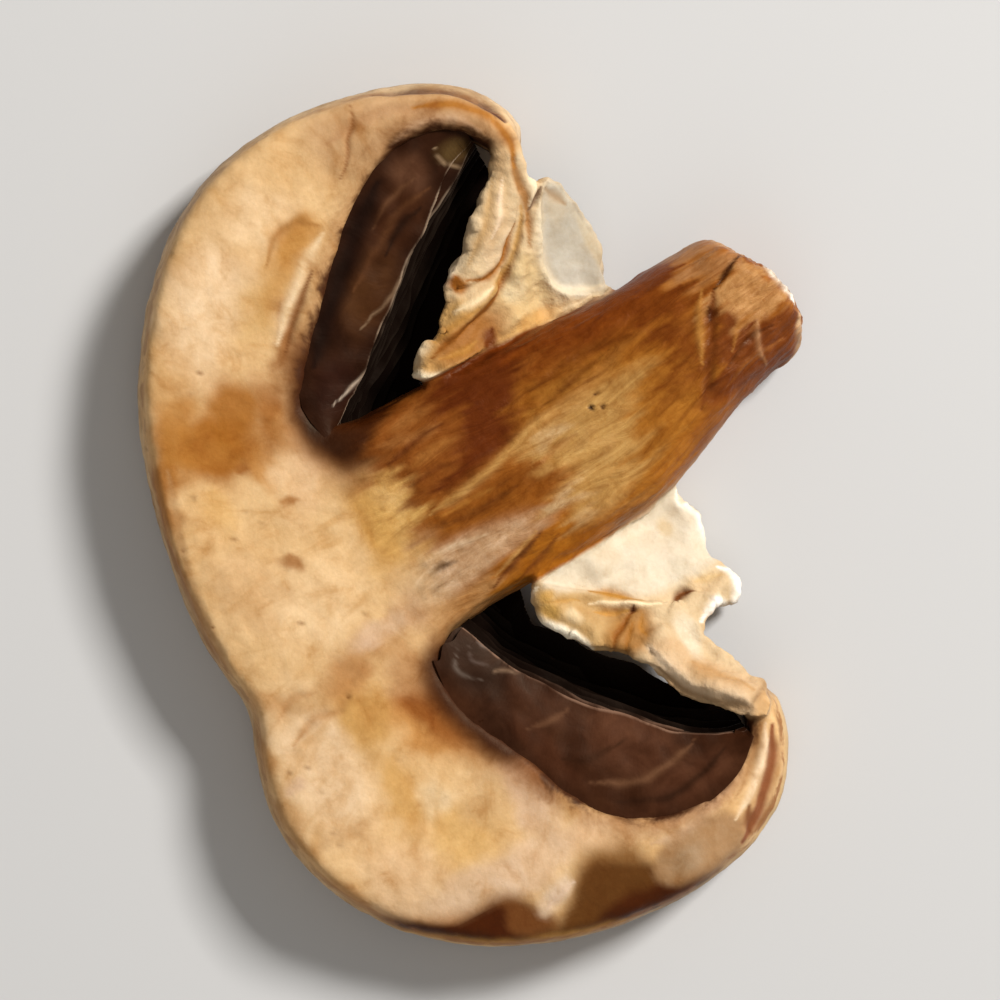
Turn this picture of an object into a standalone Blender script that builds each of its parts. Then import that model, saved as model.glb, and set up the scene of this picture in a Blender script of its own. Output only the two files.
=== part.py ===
"""A slice of button mushroom, cut lengthwise through the cap, gills, veil and stem.

Metres, +Z up. The slice lies on its lower cut face with the crown of the cap towards +Y and the foot
of the stem towards -Y. The origin is under the middle of the slice, on the surface it lies on.
Outline points are millimetres, measured from the middle of the slice.
"""

import math

import bmesh
import bpy
from mathutils import Matrix, Vector, noise

MM = 0.001

# The slice, between its two knife cuts
THICKNESS = 7.0
EDGE_ROUND = 0.45
TIP_LIFT = 0.8  # how far the drying lobes and the foot curl up from the board
LIFT_STARTS, LIFT_ENDS = 13.0, 31.0  # distances from the middle of the slice

# The skin bellies out between the cuts, and the cap widens towards the lower cut
SKIN_BULGE, SKIN_FLARE = 0.55, 0.75
STEM_BULGE = 0.6
SKIN_ROLL, SKIN_ROLL_WIDE = 0.35, 1.3

# The stained band along the skin of the left lobe has sunk a little
BAND_SAG, BAND_WIDE = 0.75, 3.6

# The stem stands a little proud of the cap's cut face, and its foot is cut off at a slant
STEM_PROUD = 0.9
STEM_SHOULDER = 1.5
STEM_TOP_Y, STEM_FULL_Y = 10.0, 1.0
STEM_STATIONS = ((6.0, -5.6, 10.2), (-4.0, -5.1, 9.9), (-11.0, -4.4, 9.4), (-18.6, -1.4, 9.3), (-25.0, 0.2, 9.4))
FOOT_HINGE = ((-0.6, -17.6), (7.8, -22.8))
FOOT_SLOPE = 0.42

# The stem's axis, from which the gills radiate
AXIS_X = 2.4
GILL_CLEARANCE = 0.45
GILL_SINK = 0.25  # the gills stop this far short of both cuts
GILL_BED = 1.1
LAMELLA = 0.62
FAN_STEP = 7.0  # degrees between two full gills
STEEPEST_REACHES = 12.0  # no gill is so steep that it leaves the slice nearer the axis than this
SHORT_GILL_FROM = 13.5  # the short gills between them start at this radius
DEEPER_REACH = 1.6  # the lowest gills reach this much further into the hollow than the top ones
REACH_STARTS, REACH_ENDS = 10.0, 18.0  # distances from the axis between which that fades out

# The torn veil, a sheet that falls from the gill side at the upper cut to its ragged hem at the lower
VEIL_THICK = 1.5
VEIL_HIGH, VEIL_LOW, VEIL_FALL = 5.7, 1.3, 9.5
VEIL_CREASE_AT, VEIL_CREASE_DEEP, VEIL_CREASE_WIDE = 2.7, 0.5, 0.7

OUTLINE_STEP, VEIL_STEP, GILL_STEP = 1.35, 1.0, 1.9
CAP_GRID, UNDER_GRID, VEIL_GRID = 1.7, 4.5, 1.3
SIDE_RINGS = 3

CROWN = (
    (20.1, -13.4), (21.7, -14.5), (24.3, -13.8), (26.7, -11.6), (28.3, -8.4), (29.4, -4.2), (29.8, 0.4),
    (29.0, 5.0), (26.8, 9.4), (23.2, 13.2), (18.6, 16.4), (13.4, 18.6), (8.0, 20.0), (3.0, 20.6),
    (0.0, 20.6), (-3.5, 20.2), (-7.0, 21.5), (-11.0, 22.3), (-15.0, 21.8), (-19.0, 20.0), (-22.5, 17.2),
    (-25.3, 13.4), (-27.2, 9.0), (-28.3, 4.0), (-28.4, -1.0), (-27.6, -5.2), (-25.6, -8.4),
    (-22.8, -10.4), (-20.0, -11.2),
)
LEFT_POCKET = (
    (-18.3, -10.5), (-18.9, -9.2), (-20.9, -8.2), (-22.5, -6.2), (-23.2, -3.2), (-22.6, -0.2), (-21.0, 2.3),
    (-18.6, 4.0), (-15.5, 5.1), (-12.5, 6.5), (-9.6, 7.6), (-7.2, 7.4),
)
STEM = (
    (-5.7, 5.8), (-5.2, 3.0), (-5.2, -1.5), (-5.0, -6.0), (-4.4, -11.0), (-3.0, -15.0), (-1.5, -18.6),
    (-0.7, -21.4), (-0.5, -23.4), (0.7, -24.6), (2.8, -25.0), (5.6, -24.3), (7.6, -23.0), (9.4, -21.6),
    (9.4, -18.5), (9.2, -14.0), (9.6, -9.0), (9.9, -4.0), (10.0, 1.0), (10.0, 4.4),
)
RIGHT_POCKET = (
    (10.8, 6.6), (12.5, 6.9), (14.6, 5.6), (16.6, 3.7), (18.8, 1.5), (21.0, -0.9), (23.1, -3.5),
    (24.3, -6.3), (24.2, -8.9), (23.2, -10.9), (21.3, -12.2),
)
LEFT_GILL_EDGE = (
    (-5.9, 3.9), (-7.6, 3.0), (-9.2, 2.2), (-10.8, 1.1), (-12.8, -0.3), (-15.2, -2.4), (-17.4, -4.4),
    (-18.9, -6.4), (-19.6, -8.0),
)
RIGHT_GILL_EDGE = (
    (21.3, -11.4), (20.7, -10.5), (19.5, -8.6), (18.0, -6.2), (16.2, -3.8), (14.4, -1.6), (12.8, 0.5),
    (11.6, 2.4), (10.9, 4.6),
)
LEFT_VEIL_EDGE = (
    (-20.5, -9.7), (-18.8, -7.9), (-17.0, -6.1), (-15.2, -5.1), (-13.5, -4.6), (-12.0, -3.7), (-10.8, -2.2),
    (-9.0, -0.8), (-7.2, 0.1), (-5.9, -0.4), (-3.8, -1.6),
)
LEFT_VEIL_HEM = (
    (-3.4, -6.0), (-2.6, -11.0), (-4.4, -12.1), (-5.4, -11.7), (-6.6, -12.4), (-8.4, -11.9), (-10.3, -12.0),
    (-11.6, -12.5), (-12.8, -11.7), (-12.3, -10.6), (-12.6, -9.5), (-13.4, -8.9), (-14.9, -9.2),
    (-16.4, -9.9), (-18.0, -10.3), (-19.9, -10.5),
)
RIGHT_VEIL_EDGE = (
    (22.3, -13.0), (20.7, -11.9), (19.0, -10.3), (17.5, -8.8), (16.0, -7.2), (14.9, -5.4), (13.5, -4.5),
    (12.2, -3.1), (11.5, -1.6), (10.6, -0.7), (8.6, -1.6),
)
RIGHT_VEIL_HEM = (
    (8.2, -6.0), (8.0, -13.6), (9.9, -14.6), (11.5, -15.1), (13.1, -15.6), (15.1, -15.4), (17.3, -15.1),
    (18.1, -14.3), (17.6, -13.5), (18.8, -13.2), (20.2, -13.6), (21.9, -13.9),
)


def ramp(low, high, value):
    """0 at low, 1 at high, and smooth between them."""
    t = min(1.0, max(0.0, (value - low) / (high - low)))
    return t * t * (3 - 2 * t)


def clear_scene():
    for old in list(bpy.data.objects):
        bpy.data.objects.remove(old)


def material(name, colour, roughness):
    made = bpy.data.materials.new(name)
    made.use_nodes = True
    shader = made.node_tree.nodes["Principled BSDF"]
    shader.inputs["Base Color"].default_value = (*colour, 1.0)
    shader.inputs["Roughness"].default_value = roughness
    shader.inputs["Metallic"].default_value = 0.0
    return made


def object_from(bm, name, finish=None):
    """Turns a bmesh in millimetres into an object in metres."""
    bmesh.ops.recalc_face_normals(bm, faces=bm.faces)
    bmesh.ops.scale(bm, vec=(MM, MM, MM), verts=bm.verts)
    mesh = bpy.data.meshes.new(name)
    bm.to_mesh(mesh)
    bm.free()
    made = bpy.data.objects.new(name, mesh)
    bpy.context.scene.collection.objects.link(made)
    if finish:
        mesh.materials.append(finish)
    return made


def curve_through(points, step, closed=False):
    """A smooth curve through the points, as 2-D vectors about step apart."""
    p = [Vector(q) for q in points]
    count = len(p)
    made = []
    for i in range(count if closed else count - 1):
        before = p[i - 1] if closed or i else 2 * p[0] - p[1]
        a, b = p[i], p[(i + 1) % count]
        after = p[(i + 2) % count] if closed or i + 2 < count else 2 * p[-1] - p[-2]
        pieces = max(1, round((b - a).length / step))
        for k in range(pieces):
            t = k / pieces
            bend = 2 * before - 5 * a + 4 * b - after
            twist = -before + 3 * a - 3 * b + after
            made.append(a + 0.5 * t * ((b - before) + t * (bend + t * twist)))
    if not closed:
        made.append(p[-1])
    return made


def beside(line, distance):
    """The line moved to its left by a distance."""
    made = []
    for i, point in enumerate(line):
        along = (line[min(i + 1, len(line) - 1)] - line[max(i - 1, 0)]).normalized()
        made.append(point + distance * Vector((-along.y, along.x)))
    return made


def distance_to(line, x, y):
    """Distance from a point to an open line."""
    here = Vector((x, y))
    nearest = 1e9
    for a, b in zip(line, line[1:]):
        along = b - a
        t = min(1.0, max(0.0, (here - a).dot(along) / along.length_squared))
        nearest = min(nearest, (here - a - t * along).length)
    return nearest


def prism(outline, low, high):
    """A closed prism on an outline, between two heights."""
    bm = bmesh.new()
    corners = [bm.verts.new((q[0], q[1], low)) for q in outline]
    floor = bm.faces.new(corners)
    raised = bmesh.ops.extrude_face_region(bm, geom=[floor])["geom"]
    top = [v for v in raised if isinstance(v, bmesh.types.BMVert)]
    bmesh.ops.translate(bm, vec=(0, 0, high - low), verts=top)
    bmesh.ops.recalc_face_normals(bm, faces=bm.faces)
    return bm


def mark_level_sides(bm):
    """Gives the faces of the upper level side the index 1 and those of the lower one the index 2."""
    for f in bm.faces:
        f.material_index = 1 if f.normal.z > 0.99 else 2 if f.normal.z < -0.99 else 0


def rule_grid(bm, pitch, side):
    """Cuts one level side along a square grid, so that it can be shaped."""
    reach = 36.0
    for axis in (Vector((1, 0, 0)), Vector((0, 1, 0))):
        for k in range(-int(reach / pitch), int(reach / pitch) + 1):
            faces = [f for f in bm.faces if f.material_index == side]
            edges = {e for f in faces for e in f.edges}
            corners = {v for f in faces for v in f.verts}
            bmesh.ops.bisect_plane(
                bm, geom=[*corners, *edges, *faces], dist=0.02, plane_co=axis * (k + 0.37) * pitch, plane_no=axis
            )


def stem_across(x, y):
    """-1 on the stem's left side, 0 on its middle and 1 on its right side."""
    for (y0, left0, right0), (y1, left1, right1) in zip(STEM_STATIONS, STEM_STATIONS[1:]):
        if y >= y1 or (y1, left1, right1) == STEM_STATIONS[-1]:
            t = min(1.0, max(0.0, (y0 - y) / (y0 - y1)))
            left, right = left0 + t * (left1 - left0), right0 + t * (right1 - right0)
            return (2 * x - left - right) / (right - left)
    return 0.0


def foot_drop(x, y):
    """How far the slanting cut of the foot lies under the stem's surface."""
    a, b = (Vector(q) for q in FOOT_HINGE)
    along = (b - a).normalized()
    past = (Vector((x, y)) - a).dot(Vector((along.y, -along.x)))
    return FOOT_SLOPE * max(0.0, past)


def upper_face(x, y):
    """Height of the upper cut face."""
    across = stem_across(x, y)
    on_stem = ramp(STEM_TOP_Y, STEM_FULL_Y, y)
    swell = on_stem * (STEM_PROUD * max(0.0, 1 - across**2) - STEM_SHOULDER * min(1.0, abs(across)) ** 6)
    if abs(across) > 1.3 and y > -20:
        swell = 0.0
    wave = 0.3 * noise.noise(Vector((0.11 * x, 0.11 * y, 2.0)))
    from_skin = distance_to(CROWN_LINE, x, y)
    roll = SKIN_ROLL * math.exp(-((from_skin / SKIN_ROLL_WIDE) ** 2))
    sag = BAND_SAG * math.exp(-((from_skin / BAND_WIDE) ** 4)) * ramp(-16.0, -22.0, x) * ramp(-12.0, -6.0, y)
    return THICKNESS + swell + wave - foot_drop(x, y) - roll - sag


def curl(x, y):
    """How far the drying slice has lifted off the board."""
    return TIP_LIFT * ramp(LIFT_STARTS, LIFT_ENDS, math.hypot(x, y)) ** 2


CROWN_LINE = [Vector(q) for q in CROWN]


def flesh_side(outline, runs, x, y):
    """The outward direction and the run of the outline nearest to a point."""
    here = Vector((x, y))
    i = min(range(len(outline)), key=lambda k: (outline[k] - here).length_squared)
    along = outline[(i + 1) % len(outline)] - outline[i - 1]
    return Vector((along.y, -along.x)).normalized(), runs[i]


def cap_and_stem_body():
    """The flesh of the cap and the stem, which run into each other."""
    named = (("skin", CROWN), ("pocket", LEFT_POCKET), ("stem", STEM), ("pocket", RIGHT_POCKET))
    points = [q for _, run in named for q in run]
    outline = curve_through(points, OUTLINE_STEP, closed=True)
    corners = [Vector(q) for q in points]
    names = [name for name, run in named for _ in run]
    runs = [names[min(range(len(corners)), key=lambda k: (corners[k] - q).length_squared)] for q in outline]
    bm = prism(outline, 0.0, THICKNESS)
    uprights = [e for e in bm.edges if abs(e.verts[0].co.z - e.verts[1].co.z) > 1.0]
    bmesh.ops.subdivide_edges(bm, edges=uprights, cuts=SIDE_RINGS, use_grid_fill=True)
    mark_level_sides(bm)
    level = [f for f in bm.faces if f.material_index]
    ring = bmesh.ops.inset_region(bm, faces=level, thickness=EDGE_ROUND, use_even_offset=True)["faces"]
    for f in ring:
        f.material_index = 0
    sides = {v for f in bm.faces if abs(f.normal.z) < 0.5 for v in f.verts}
    for v in {v for f in ring for v in f.verts} | sides:
        outward, run = flesh_side(outline, runs, v.co.x, v.co.y)
        share = v.co.z / THICKNESS
        belly = math.sin(math.pi * (0.12 + 0.76 * share)) - 1
        push = {"skin": SKIN_BULGE * belly + SKIN_FLARE * (0.5 - share), "stem": STEM_BULGE * belly, "pocket": 0.0}
        v.co.xy += push[run] * outward
    rule_grid(bm, CAP_GRID, 1)
    rule_grid(bm, UNDER_GRID, 2)
    for v in bm.verts:
        share, top = v.co.z / THICKNESS, upper_face(v.co.x, v.co.y)
        if v in sides:
            v.co.z = EDGE_ROUND * 0.8 + share * (top - 2 * EDGE_ROUND * 0.8)
        else:
            v.co.z = top if share > 0.5 else 0.0
    bmesh.ops.triangulate(bm, faces=bm.faces)
    return bm


def veil_body(edge_points, hem_points):
    """The torn veil on one side: a creased sheet from the rim of the cap to the stem."""
    edge = curve_through(edge_points, VEIL_STEP)
    outline = curve_through((*edge_points, *hem_points), VEIL_STEP, closed=True)
    bm = prism(outline, 0.0, VEIL_THICK)
    mark_level_sides(bm)
    rule_grid(bm, VEIL_GRID, 1)
    rule_grid(bm, VEIL_GRID, 2)
    for v in bm.verts:
        x, y = v.co.x, v.co.y
        away = distance_to(edge, x, y)
        fall = (VEIL_HIGH - VEIL_LOW) * ramp(0.0, VEIL_FALL, away)
        crease = VEIL_CREASE_DEEP * math.exp(-(((away - VEIL_CREASE_AT) / VEIL_CREASE_WIDE) ** 2))
        ruffle = 0.45 * noise.noise(Vector((0.42 * x, 0.42 * y, 7.0)))
        v.co.z += VEIL_HIGH - VEIL_THICK / 2 - fall - crease + ruffle
    bmesh.ops.triangulate(bm, faces=bm.faces)
    return bm


def lamella(outer, edge, side, angle, from_radius):
    """One gill: a thin crescent on a plane through the stem's axis. Side is -1 left of the stem and 1 right."""
    depth = min(1.0, max(0.0, 0.5 - 0.5 * angle / FAN_STEP / 2))
    lowered = []
    for q in edge:
        share = ramp(REACH_ENDS, REACH_STARTS, abs(q.x - AXIS_X))
        lowered.append(q + Vector((0, -DEEPER_REACH * depth * share)))
    crescent = [q for q in (*outer, *lowered) if side * (q.x - AXIS_X) > from_radius]
    tilt = math.radians(angle)
    bm = prism(crescent, -0.5 * LAMELLA / math.cos(tilt), 0.5 * LAMELLA / math.cos(tilt))
    for v in bm.verts:
        v.co.z += THICKNESS / 2 + math.tan(tilt) * side * (v.co.x - AXIS_X)
    bmesh.ops.triangulate(bm, faces=bm.faces)
    return bm


def gill_bodies(pocket_points, edge_points, side):
    """The bed that the gills of one side grow from, then the gills, as separate bodies."""
    wall = curve_through(pocket_points, GILL_STEP)
    bed = prism(
        [*beside(wall, -GILL_CLEARANCE), *reversed(beside(wall, -GILL_CLEARANCE - GILL_BED))], -1.0, THICKNESS + 1.0
    )
    bmesh.ops.triangulate(bed, faces=bed.faces)
    outer = beside(wall, -GILL_CLEARANCE - 0.2 * GILL_BED)[1:-1]
    edge = curve_through(edge_points, GILL_STEP)
    steepest = math.degrees(math.atan(0.5 * THICKNESS / STEEPEST_REACHES))
    made = [bed]
    for k in range(-5, 6):
        for angle, from_radius in ((k * FAN_STEP, 0.0), ((k + 0.5) * FAN_STEP, SHORT_GILL_FROM)):
            if abs(angle) < steepest or (from_radius and abs(angle) < 2 * FAN_STEP):
                made.append(lamella(outer, edge, side, angle, from_radius))
    return made


def between_cuts():
    """The room between the two cuts that the gills are kept to."""
    reach = 40.0
    corners = [(reach, reach), (-reach, reach), (-reach, -reach), (reach, -reach)]
    return prism(corners, GILL_SINK, THICKNESS - GILL_SINK)


def fused(bodies, name, finish, trim=None):
    """The bodies joined into one closed solid, and trimmed to the inside of another body."""
    first, *others = [object_from(bm, f"{name}_{i}") for i, bm in enumerate(bodies)]
    group = bpy.data.collections.new(name + "_parts")
    for other in others:
        group.objects.link(other)
    join = first.modifiers.new("join", "BOOLEAN")
    join.operation = "UNION"
    join.operand_type = "COLLECTION"
    join.collection = group
    join.solver = "EXACT"
    if trim:
        mould = object_from(trim, name + "_mould")
        others.append(mould)
        keep = first.modifiers.new("keep", "BOOLEAN")
        keep.operation = "INTERSECT"
        keep.object = mould
        keep.solver = "EXACT"
    solid = bpy.data.meshes.new_from_object(first.evaluated_get(bpy.context.evaluated_depsgraph_get()))
    for old in (first, *others):
        bpy.data.objects.remove(old)
    bpy.data.collections.remove(group)
    solid.name = name
    solid.materials.clear()
    solid.materials.append(finish)
    made = bpy.data.objects.new(name, solid)
    bpy.context.scene.collection.objects.link(made)
    return made


def settle(objects):
    """Curls the lobes up, and moves the slice so that the origin is under its middle."""
    for made in objects:
        for v in made.data.vertices:
            v.co.z += MM * curl(v.co.x / MM, v.co.y / MM)
    corners = [v.co for made in objects for v in made.data.vertices]
    low = Vector(min(c[k] for c in corners) for k in range(3))
    high = Vector(max(c[k] for c in corners) for k in range(3))
    shift = Vector((-(low.x + high.x) / 2, -(low.y + high.y) / 2, -low.z))
    for made in objects:
        made.data.transform(Matrix.Translation(shift))


def main():
    clear_scene()
    flesh = material("mushroom_flesh", (0.72, 0.52, 0.31), 0.55)
    gill_brown = material("gill_brown", (0.105, 0.055, 0.037), 0.5)
    body = fused(
        [cap_and_stem_body(), veil_body(LEFT_VEIL_EDGE, LEFT_VEIL_HEM), veil_body(RIGHT_VEIL_EDGE, RIGHT_VEIL_HEM)],
        "cap_and_stem",
        flesh,
    )
    left = fused(gill_bodies(LEFT_POCKET[2:], LEFT_GILL_EDGE, -1), "gills_left", gill_brown, between_cuts())
    right = fused(gill_bodies(RIGHT_POCKET[:-1], RIGHT_GILL_EDGE, 1), "gills_right", gill_brown, between_cuts())
    settle([body, left, right])


main()
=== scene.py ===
"""The looks of a button mushroom slice that lies on its lower cut face, crown towards +Y.

Metres, +Z up. Outline points and stains are millimetres on the slice, read from the root of the stem,
and MIDDLE is where the middle of the slice lies among them.
"""

import math

import bmesh
import bpy
import numpy as np
from mathutils import Matrix, Vector, noise


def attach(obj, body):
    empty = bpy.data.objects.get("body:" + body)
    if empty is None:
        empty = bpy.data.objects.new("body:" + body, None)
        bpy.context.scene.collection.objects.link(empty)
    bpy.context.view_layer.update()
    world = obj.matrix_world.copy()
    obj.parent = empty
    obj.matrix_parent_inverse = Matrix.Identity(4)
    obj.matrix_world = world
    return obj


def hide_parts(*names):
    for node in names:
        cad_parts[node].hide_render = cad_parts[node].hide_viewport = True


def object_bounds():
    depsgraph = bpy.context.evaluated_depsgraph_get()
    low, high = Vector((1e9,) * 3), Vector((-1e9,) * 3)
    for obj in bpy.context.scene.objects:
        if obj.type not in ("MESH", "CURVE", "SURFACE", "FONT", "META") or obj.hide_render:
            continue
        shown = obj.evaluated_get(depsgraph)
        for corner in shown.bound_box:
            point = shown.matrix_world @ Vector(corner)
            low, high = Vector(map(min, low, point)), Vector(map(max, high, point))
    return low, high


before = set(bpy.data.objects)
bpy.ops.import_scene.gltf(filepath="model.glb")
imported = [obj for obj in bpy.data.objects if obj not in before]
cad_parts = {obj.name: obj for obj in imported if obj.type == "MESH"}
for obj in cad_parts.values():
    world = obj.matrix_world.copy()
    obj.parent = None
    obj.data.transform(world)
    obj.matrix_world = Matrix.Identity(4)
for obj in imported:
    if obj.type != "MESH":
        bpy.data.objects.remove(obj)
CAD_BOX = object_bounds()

MM = 0.001
MIDDLE = np.array((0.666, -1.304))
THICKNESS = 7.0
AXIS_X = 2.4  # the stem's axis, from which the gills radiate
TURN = math.radians(29)  # the stem's turn in the picture
CAMERA_HEIGHT, LENS, SENSOR = 0.282, 150, 36
TABLE_GAP = 0.00003  # keeps the table clear of the slice's flat underside

# Outlines of the crown, of the hollows round the gills, and of the stem
CROWN = (
    (20.1, -13.4), (21.7, -14.5), (24.3, -13.8), (26.7, -11.6), (28.3, -8.4), (29.4, -4.2), (29.8, 0.4),
    (29.0, 5.0), (26.8, 9.4), (23.2, 13.2), (18.6, 16.4), (13.4, 18.6), (8.0, 20.0), (3.0, 20.6),
    (0.0, 20.6), (-3.5, 20.2), (-7.0, 21.5), (-11.0, 22.3), (-15.0, 21.8), (-19.0, 20.0), (-22.5, 17.2),
    (-25.3, 13.4), (-27.2, 9.0), (-28.3, 4.0), (-28.4, -1.0), (-27.6, -5.2), (-25.6, -8.4),
    (-22.8, -10.4), (-20.0, -11.2),
)
LEFT_POCKET = (
    (-18.3, -10.5), (-18.9, -9.2), (-20.9, -8.2), (-22.5, -6.2), (-23.2, -3.2), (-22.6, -0.2), (-21.0, 2.3),
    (-18.6, 4.0), (-15.5, 5.1), (-12.5, 6.5), (-9.6, 7.6), (-7.2, 7.4),
)
STEM = (
    (-5.7, 5.8), (-5.2, 3.0), (-5.2, -1.5), (-5.0, -6.0), (-4.4, -11.0), (-3.0, -15.0), (-1.5, -18.6),
    (-0.7, -21.4), (-0.5, -23.4), (0.7, -24.6), (2.8, -25.0), (5.6, -24.3), (7.6, -23.0), (9.4, -21.6),
    (9.4, -18.5), (9.2, -14.0), (9.6, -9.0), (9.9, -4.0), (10.0, 1.0), (10.0, 4.4),
)
# Heights on the stem, and where its left and its right side are there
STEM_STATIONS = (
    (6.0, -5.6, 10.2), (-4.0, -5.1, 9.9), (-11.0, -4.4, 9.4), (-18.6, -1.4, 9.3), (-25.0, 0.2, 9.4),
)
RIGHT_POCKET = (
    (10.8, 6.6), (12.5, 6.9), (14.6, 5.6), (16.6, 3.7), (18.8, 1.5), (21.0, -0.9), (23.1, -3.5),
    (24.3, -6.3), (24.2, -8.9), (23.2, -10.9), (21.3, -12.2),
)

# The free edges of the gills, and the edges and ragged hems of the torn veil
LEFT_GILL_EDGE = (
    (-5.9, 3.9), (-7.6, 3.0), (-9.2, 2.2), (-10.8, 1.1), (-12.8, -0.3), (-15.2, -2.4), (-17.4, -4.4),
    (-18.9, -6.4), (-19.6, -8.0),
)
RIGHT_GILL_EDGE = (
    (21.3, -11.4), (20.7, -10.5), (19.5, -8.6), (18.0, -6.2), (16.2, -3.8), (14.4, -1.6), (12.8, 0.5),
    (11.6, 2.4), (10.9, 4.6),
)
LEFT_VEIL_EDGE = (
    (-20.5, -9.7), (-18.8, -7.9), (-17.0, -6.1), (-15.2, -5.1), (-13.5, -4.6), (-12.0, -3.7), (-10.8, -2.2),
    (-9.0, -0.8), (-7.2, 0.1), (-5.9, -0.4), (-3.8, -1.6),
)
LEFT_VEIL_HEM = (
    (-3.4, -6.0), (-2.6, -11.0), (-4.4, -12.1), (-5.4, -11.7), (-6.6, -12.4), (-8.4, -11.9), (-10.3, -12.0),
    (-11.6, -12.5), (-12.8, -11.7), (-12.3, -10.6), (-12.6, -9.5), (-13.4, -8.9), (-14.9, -9.2),
    (-16.4, -9.9), (-18.0, -10.3), (-19.9, -10.5),
)
RIGHT_VEIL_EDGE = (
    (22.3, -13.0), (20.7, -11.9), (19.0, -10.3), (17.5, -8.8), (16.0, -7.2), (14.9, -5.4), (13.5, -4.5),
    (12.2, -3.1), (11.5, -1.6), (10.6, -0.7), (8.6, -1.6),
)
RIGHT_VEIL_HEM = (
    (8.2, -6.0), (8.0, -13.6), (9.9, -14.6), (11.5, -15.1), (13.1, -15.6), (15.1, -15.4), (17.3, -15.1),
    (18.1, -14.3), (17.6, -13.5), (18.8, -13.2), (20.2, -13.6), (21.9, -13.9),
)

# Where one layer of the veil laps over the next: points with the upper layer on their left, reach, height
LAPS = (
    (((-10.6, -7.6), (-9.7, -6.3), (-8.7, -5.1), (-7.6, -3.7), (-6.6, -2.4), (-5.7, -1.4)), 1.3, 0.6),
    (((-11.2, -2.2), (-11.5, -3.2), (-12.3, -4.0), (-13.8, -4.9)), 0.8, 0.4),
    (((-13.2, -5.4), (-15.0, -5.9), (-16.2, -6.5), (-17.4, -7.6), (-19.2, -9.0)), 1.4, 0.3),
    (((-11.2, -10.0), (-10.6, -8.9), (-11.0, -8.0)), 0.6, 0.35),
    (((10.9, -2.0), (11.3, -3.8), (11.8, -5.4), (12.2, -6.8), (12.7, -7.7), (13.5, -8.4)), 0.9, 0.4),
    (((14.2, -6.2), (14.0, -7.8), (14.5, -8.9), (15.3, -9.8), (16.2, -10.7), (17.2, -11.6)), 0.9, 0.4),
    (((10.2, -12.9), (10.9, -11.8), (12.3, -11.3), (14.0, -11.8), (15.6, -12.7), (16.9, -13.4)), 0.9, 0.35),
    (((16.4, -12.0), (17.1, -12.9), (18.2, -13.7)), 0.6, 0.4),
)

# Swells and hollows of the veil, without colour: points, width, height
VEIL_FORMS = (
    (((-19.0, -9.6), (-16.6, -7.6), (-14.4, -6.6), (-12.4, -6.2)), 0.8, 0.45),
    (((-17.6, -10.0), (-15.6, -8.9), (-13.6, -8.2)), 0.6, -0.35),
    (((-9.8, -2.6), (-8.4, -1.6), (-7.2, -1.0)), 0.7, 0.35),
    (((-9.6, -4.4), (-9.0, -3.4), (-8.0, -2.6)), 0.5, -0.3),
    (((-6.8, -5.0), (-7.6, -8.0), (-8.6, -10.6)), 0.9, 0.3),
    (((-5.6, -7.0), (-5.6, -10.6)), 0.7, -0.3),
    (((-12.2, -10.0), (-11.4, -11.6)), 0.5, 0.4),
    (((10.0, -2.4), (10.3, -5.0), (10.8, -8.0)), 0.5, 0.35),
    (((11.8, -3.6), (12.8, -6.0), (13.2, -7.6)), 0.5, 0.35),
    (((15.0, -7.0), (16.6, -9.0), (18.6, -10.6)), 0.6, 0.35),
    (((13.4, -9.6), (15.4, -11.2), (17.4, -12.4)), 0.6, 0.3),
    (((10.2, -10.0), (11.8, -10.4)), 0.6, -0.3),
)

# A white block of veil that lies lower, the smooth part of the left veil, and where the foot was cut off
VEIL_BLOCK = (
    (9.6, -14.6), (10.2, -12.9), (10.9, -11.8), (12.3, -11.3), (14.0, -11.8), (15.6, -12.7), (16.9, -13.4),
    (17.8, -14.2), (17.4, -15.4), (13.2, -16.0), (10.5, -15.4),
)
SMOOTH_VEIL = (
    (-6.0, -1.2), (-7.2, -3.3), (-8.6, -5.3), (-9.6, -7.2), (-10.1, -9.2), (-10.0, -11.0), (-9.4, -12.6),
    (-3.0, -12.8), (-2.4, -6.0), (-3.6, -1.8),
)
FOOT_CREASE = (
    (-0.5, -15.9), (0.4, -16.8), (1.6, -17.6), (3.0, -18.5), (4.6, -19.4), (6.0, -20.2), (6.5, -21.4),
    (7.2, -22.9),
)

FLESH_GRAIN = 0.305  # spacing of the flesh's mesh, halved where it is crumpled or creased
PITS, PIT_SEED = 46, 7

GILL_STEP = 3.5  # degrees from one long gill to the next
GILL_THICK = 0.22
GILLS_LOW, GILLS_HIGH = 0.2, THICKNESS - 0.12
BED_BEHIND, BED_THICK = 0.3, 1.25  # how far the bed lies behind the wall of the hollow, and its thickness
ALONG = 90  # points along the wall of a hollow
UPPER_SHORT, LOWER_LONG = 1.1, 1.9  # how far the top gill stops short of the free edge, the lowest passes it
# The lowest gill passes the free edge and the lower gills curl in under the veil, painted near black: a dark
# sheet under the gap that stands in for the shade there.
LOWER_RISE = 1.9  # how far the lowest gill rises towards its free edge
BY_STEM_LONG = 2.6  # how much further the lowest gill reaches beside the stem
CURL, CURL_BY_STEM = 1.5, 1.4  # how far the lower gills curl in under the veil
SOFT = 0.45  # how softly a gill is pressed flat at the cut faces
SHARP = 0.6  # the angle from which an edge of a gill looks sharp

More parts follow.
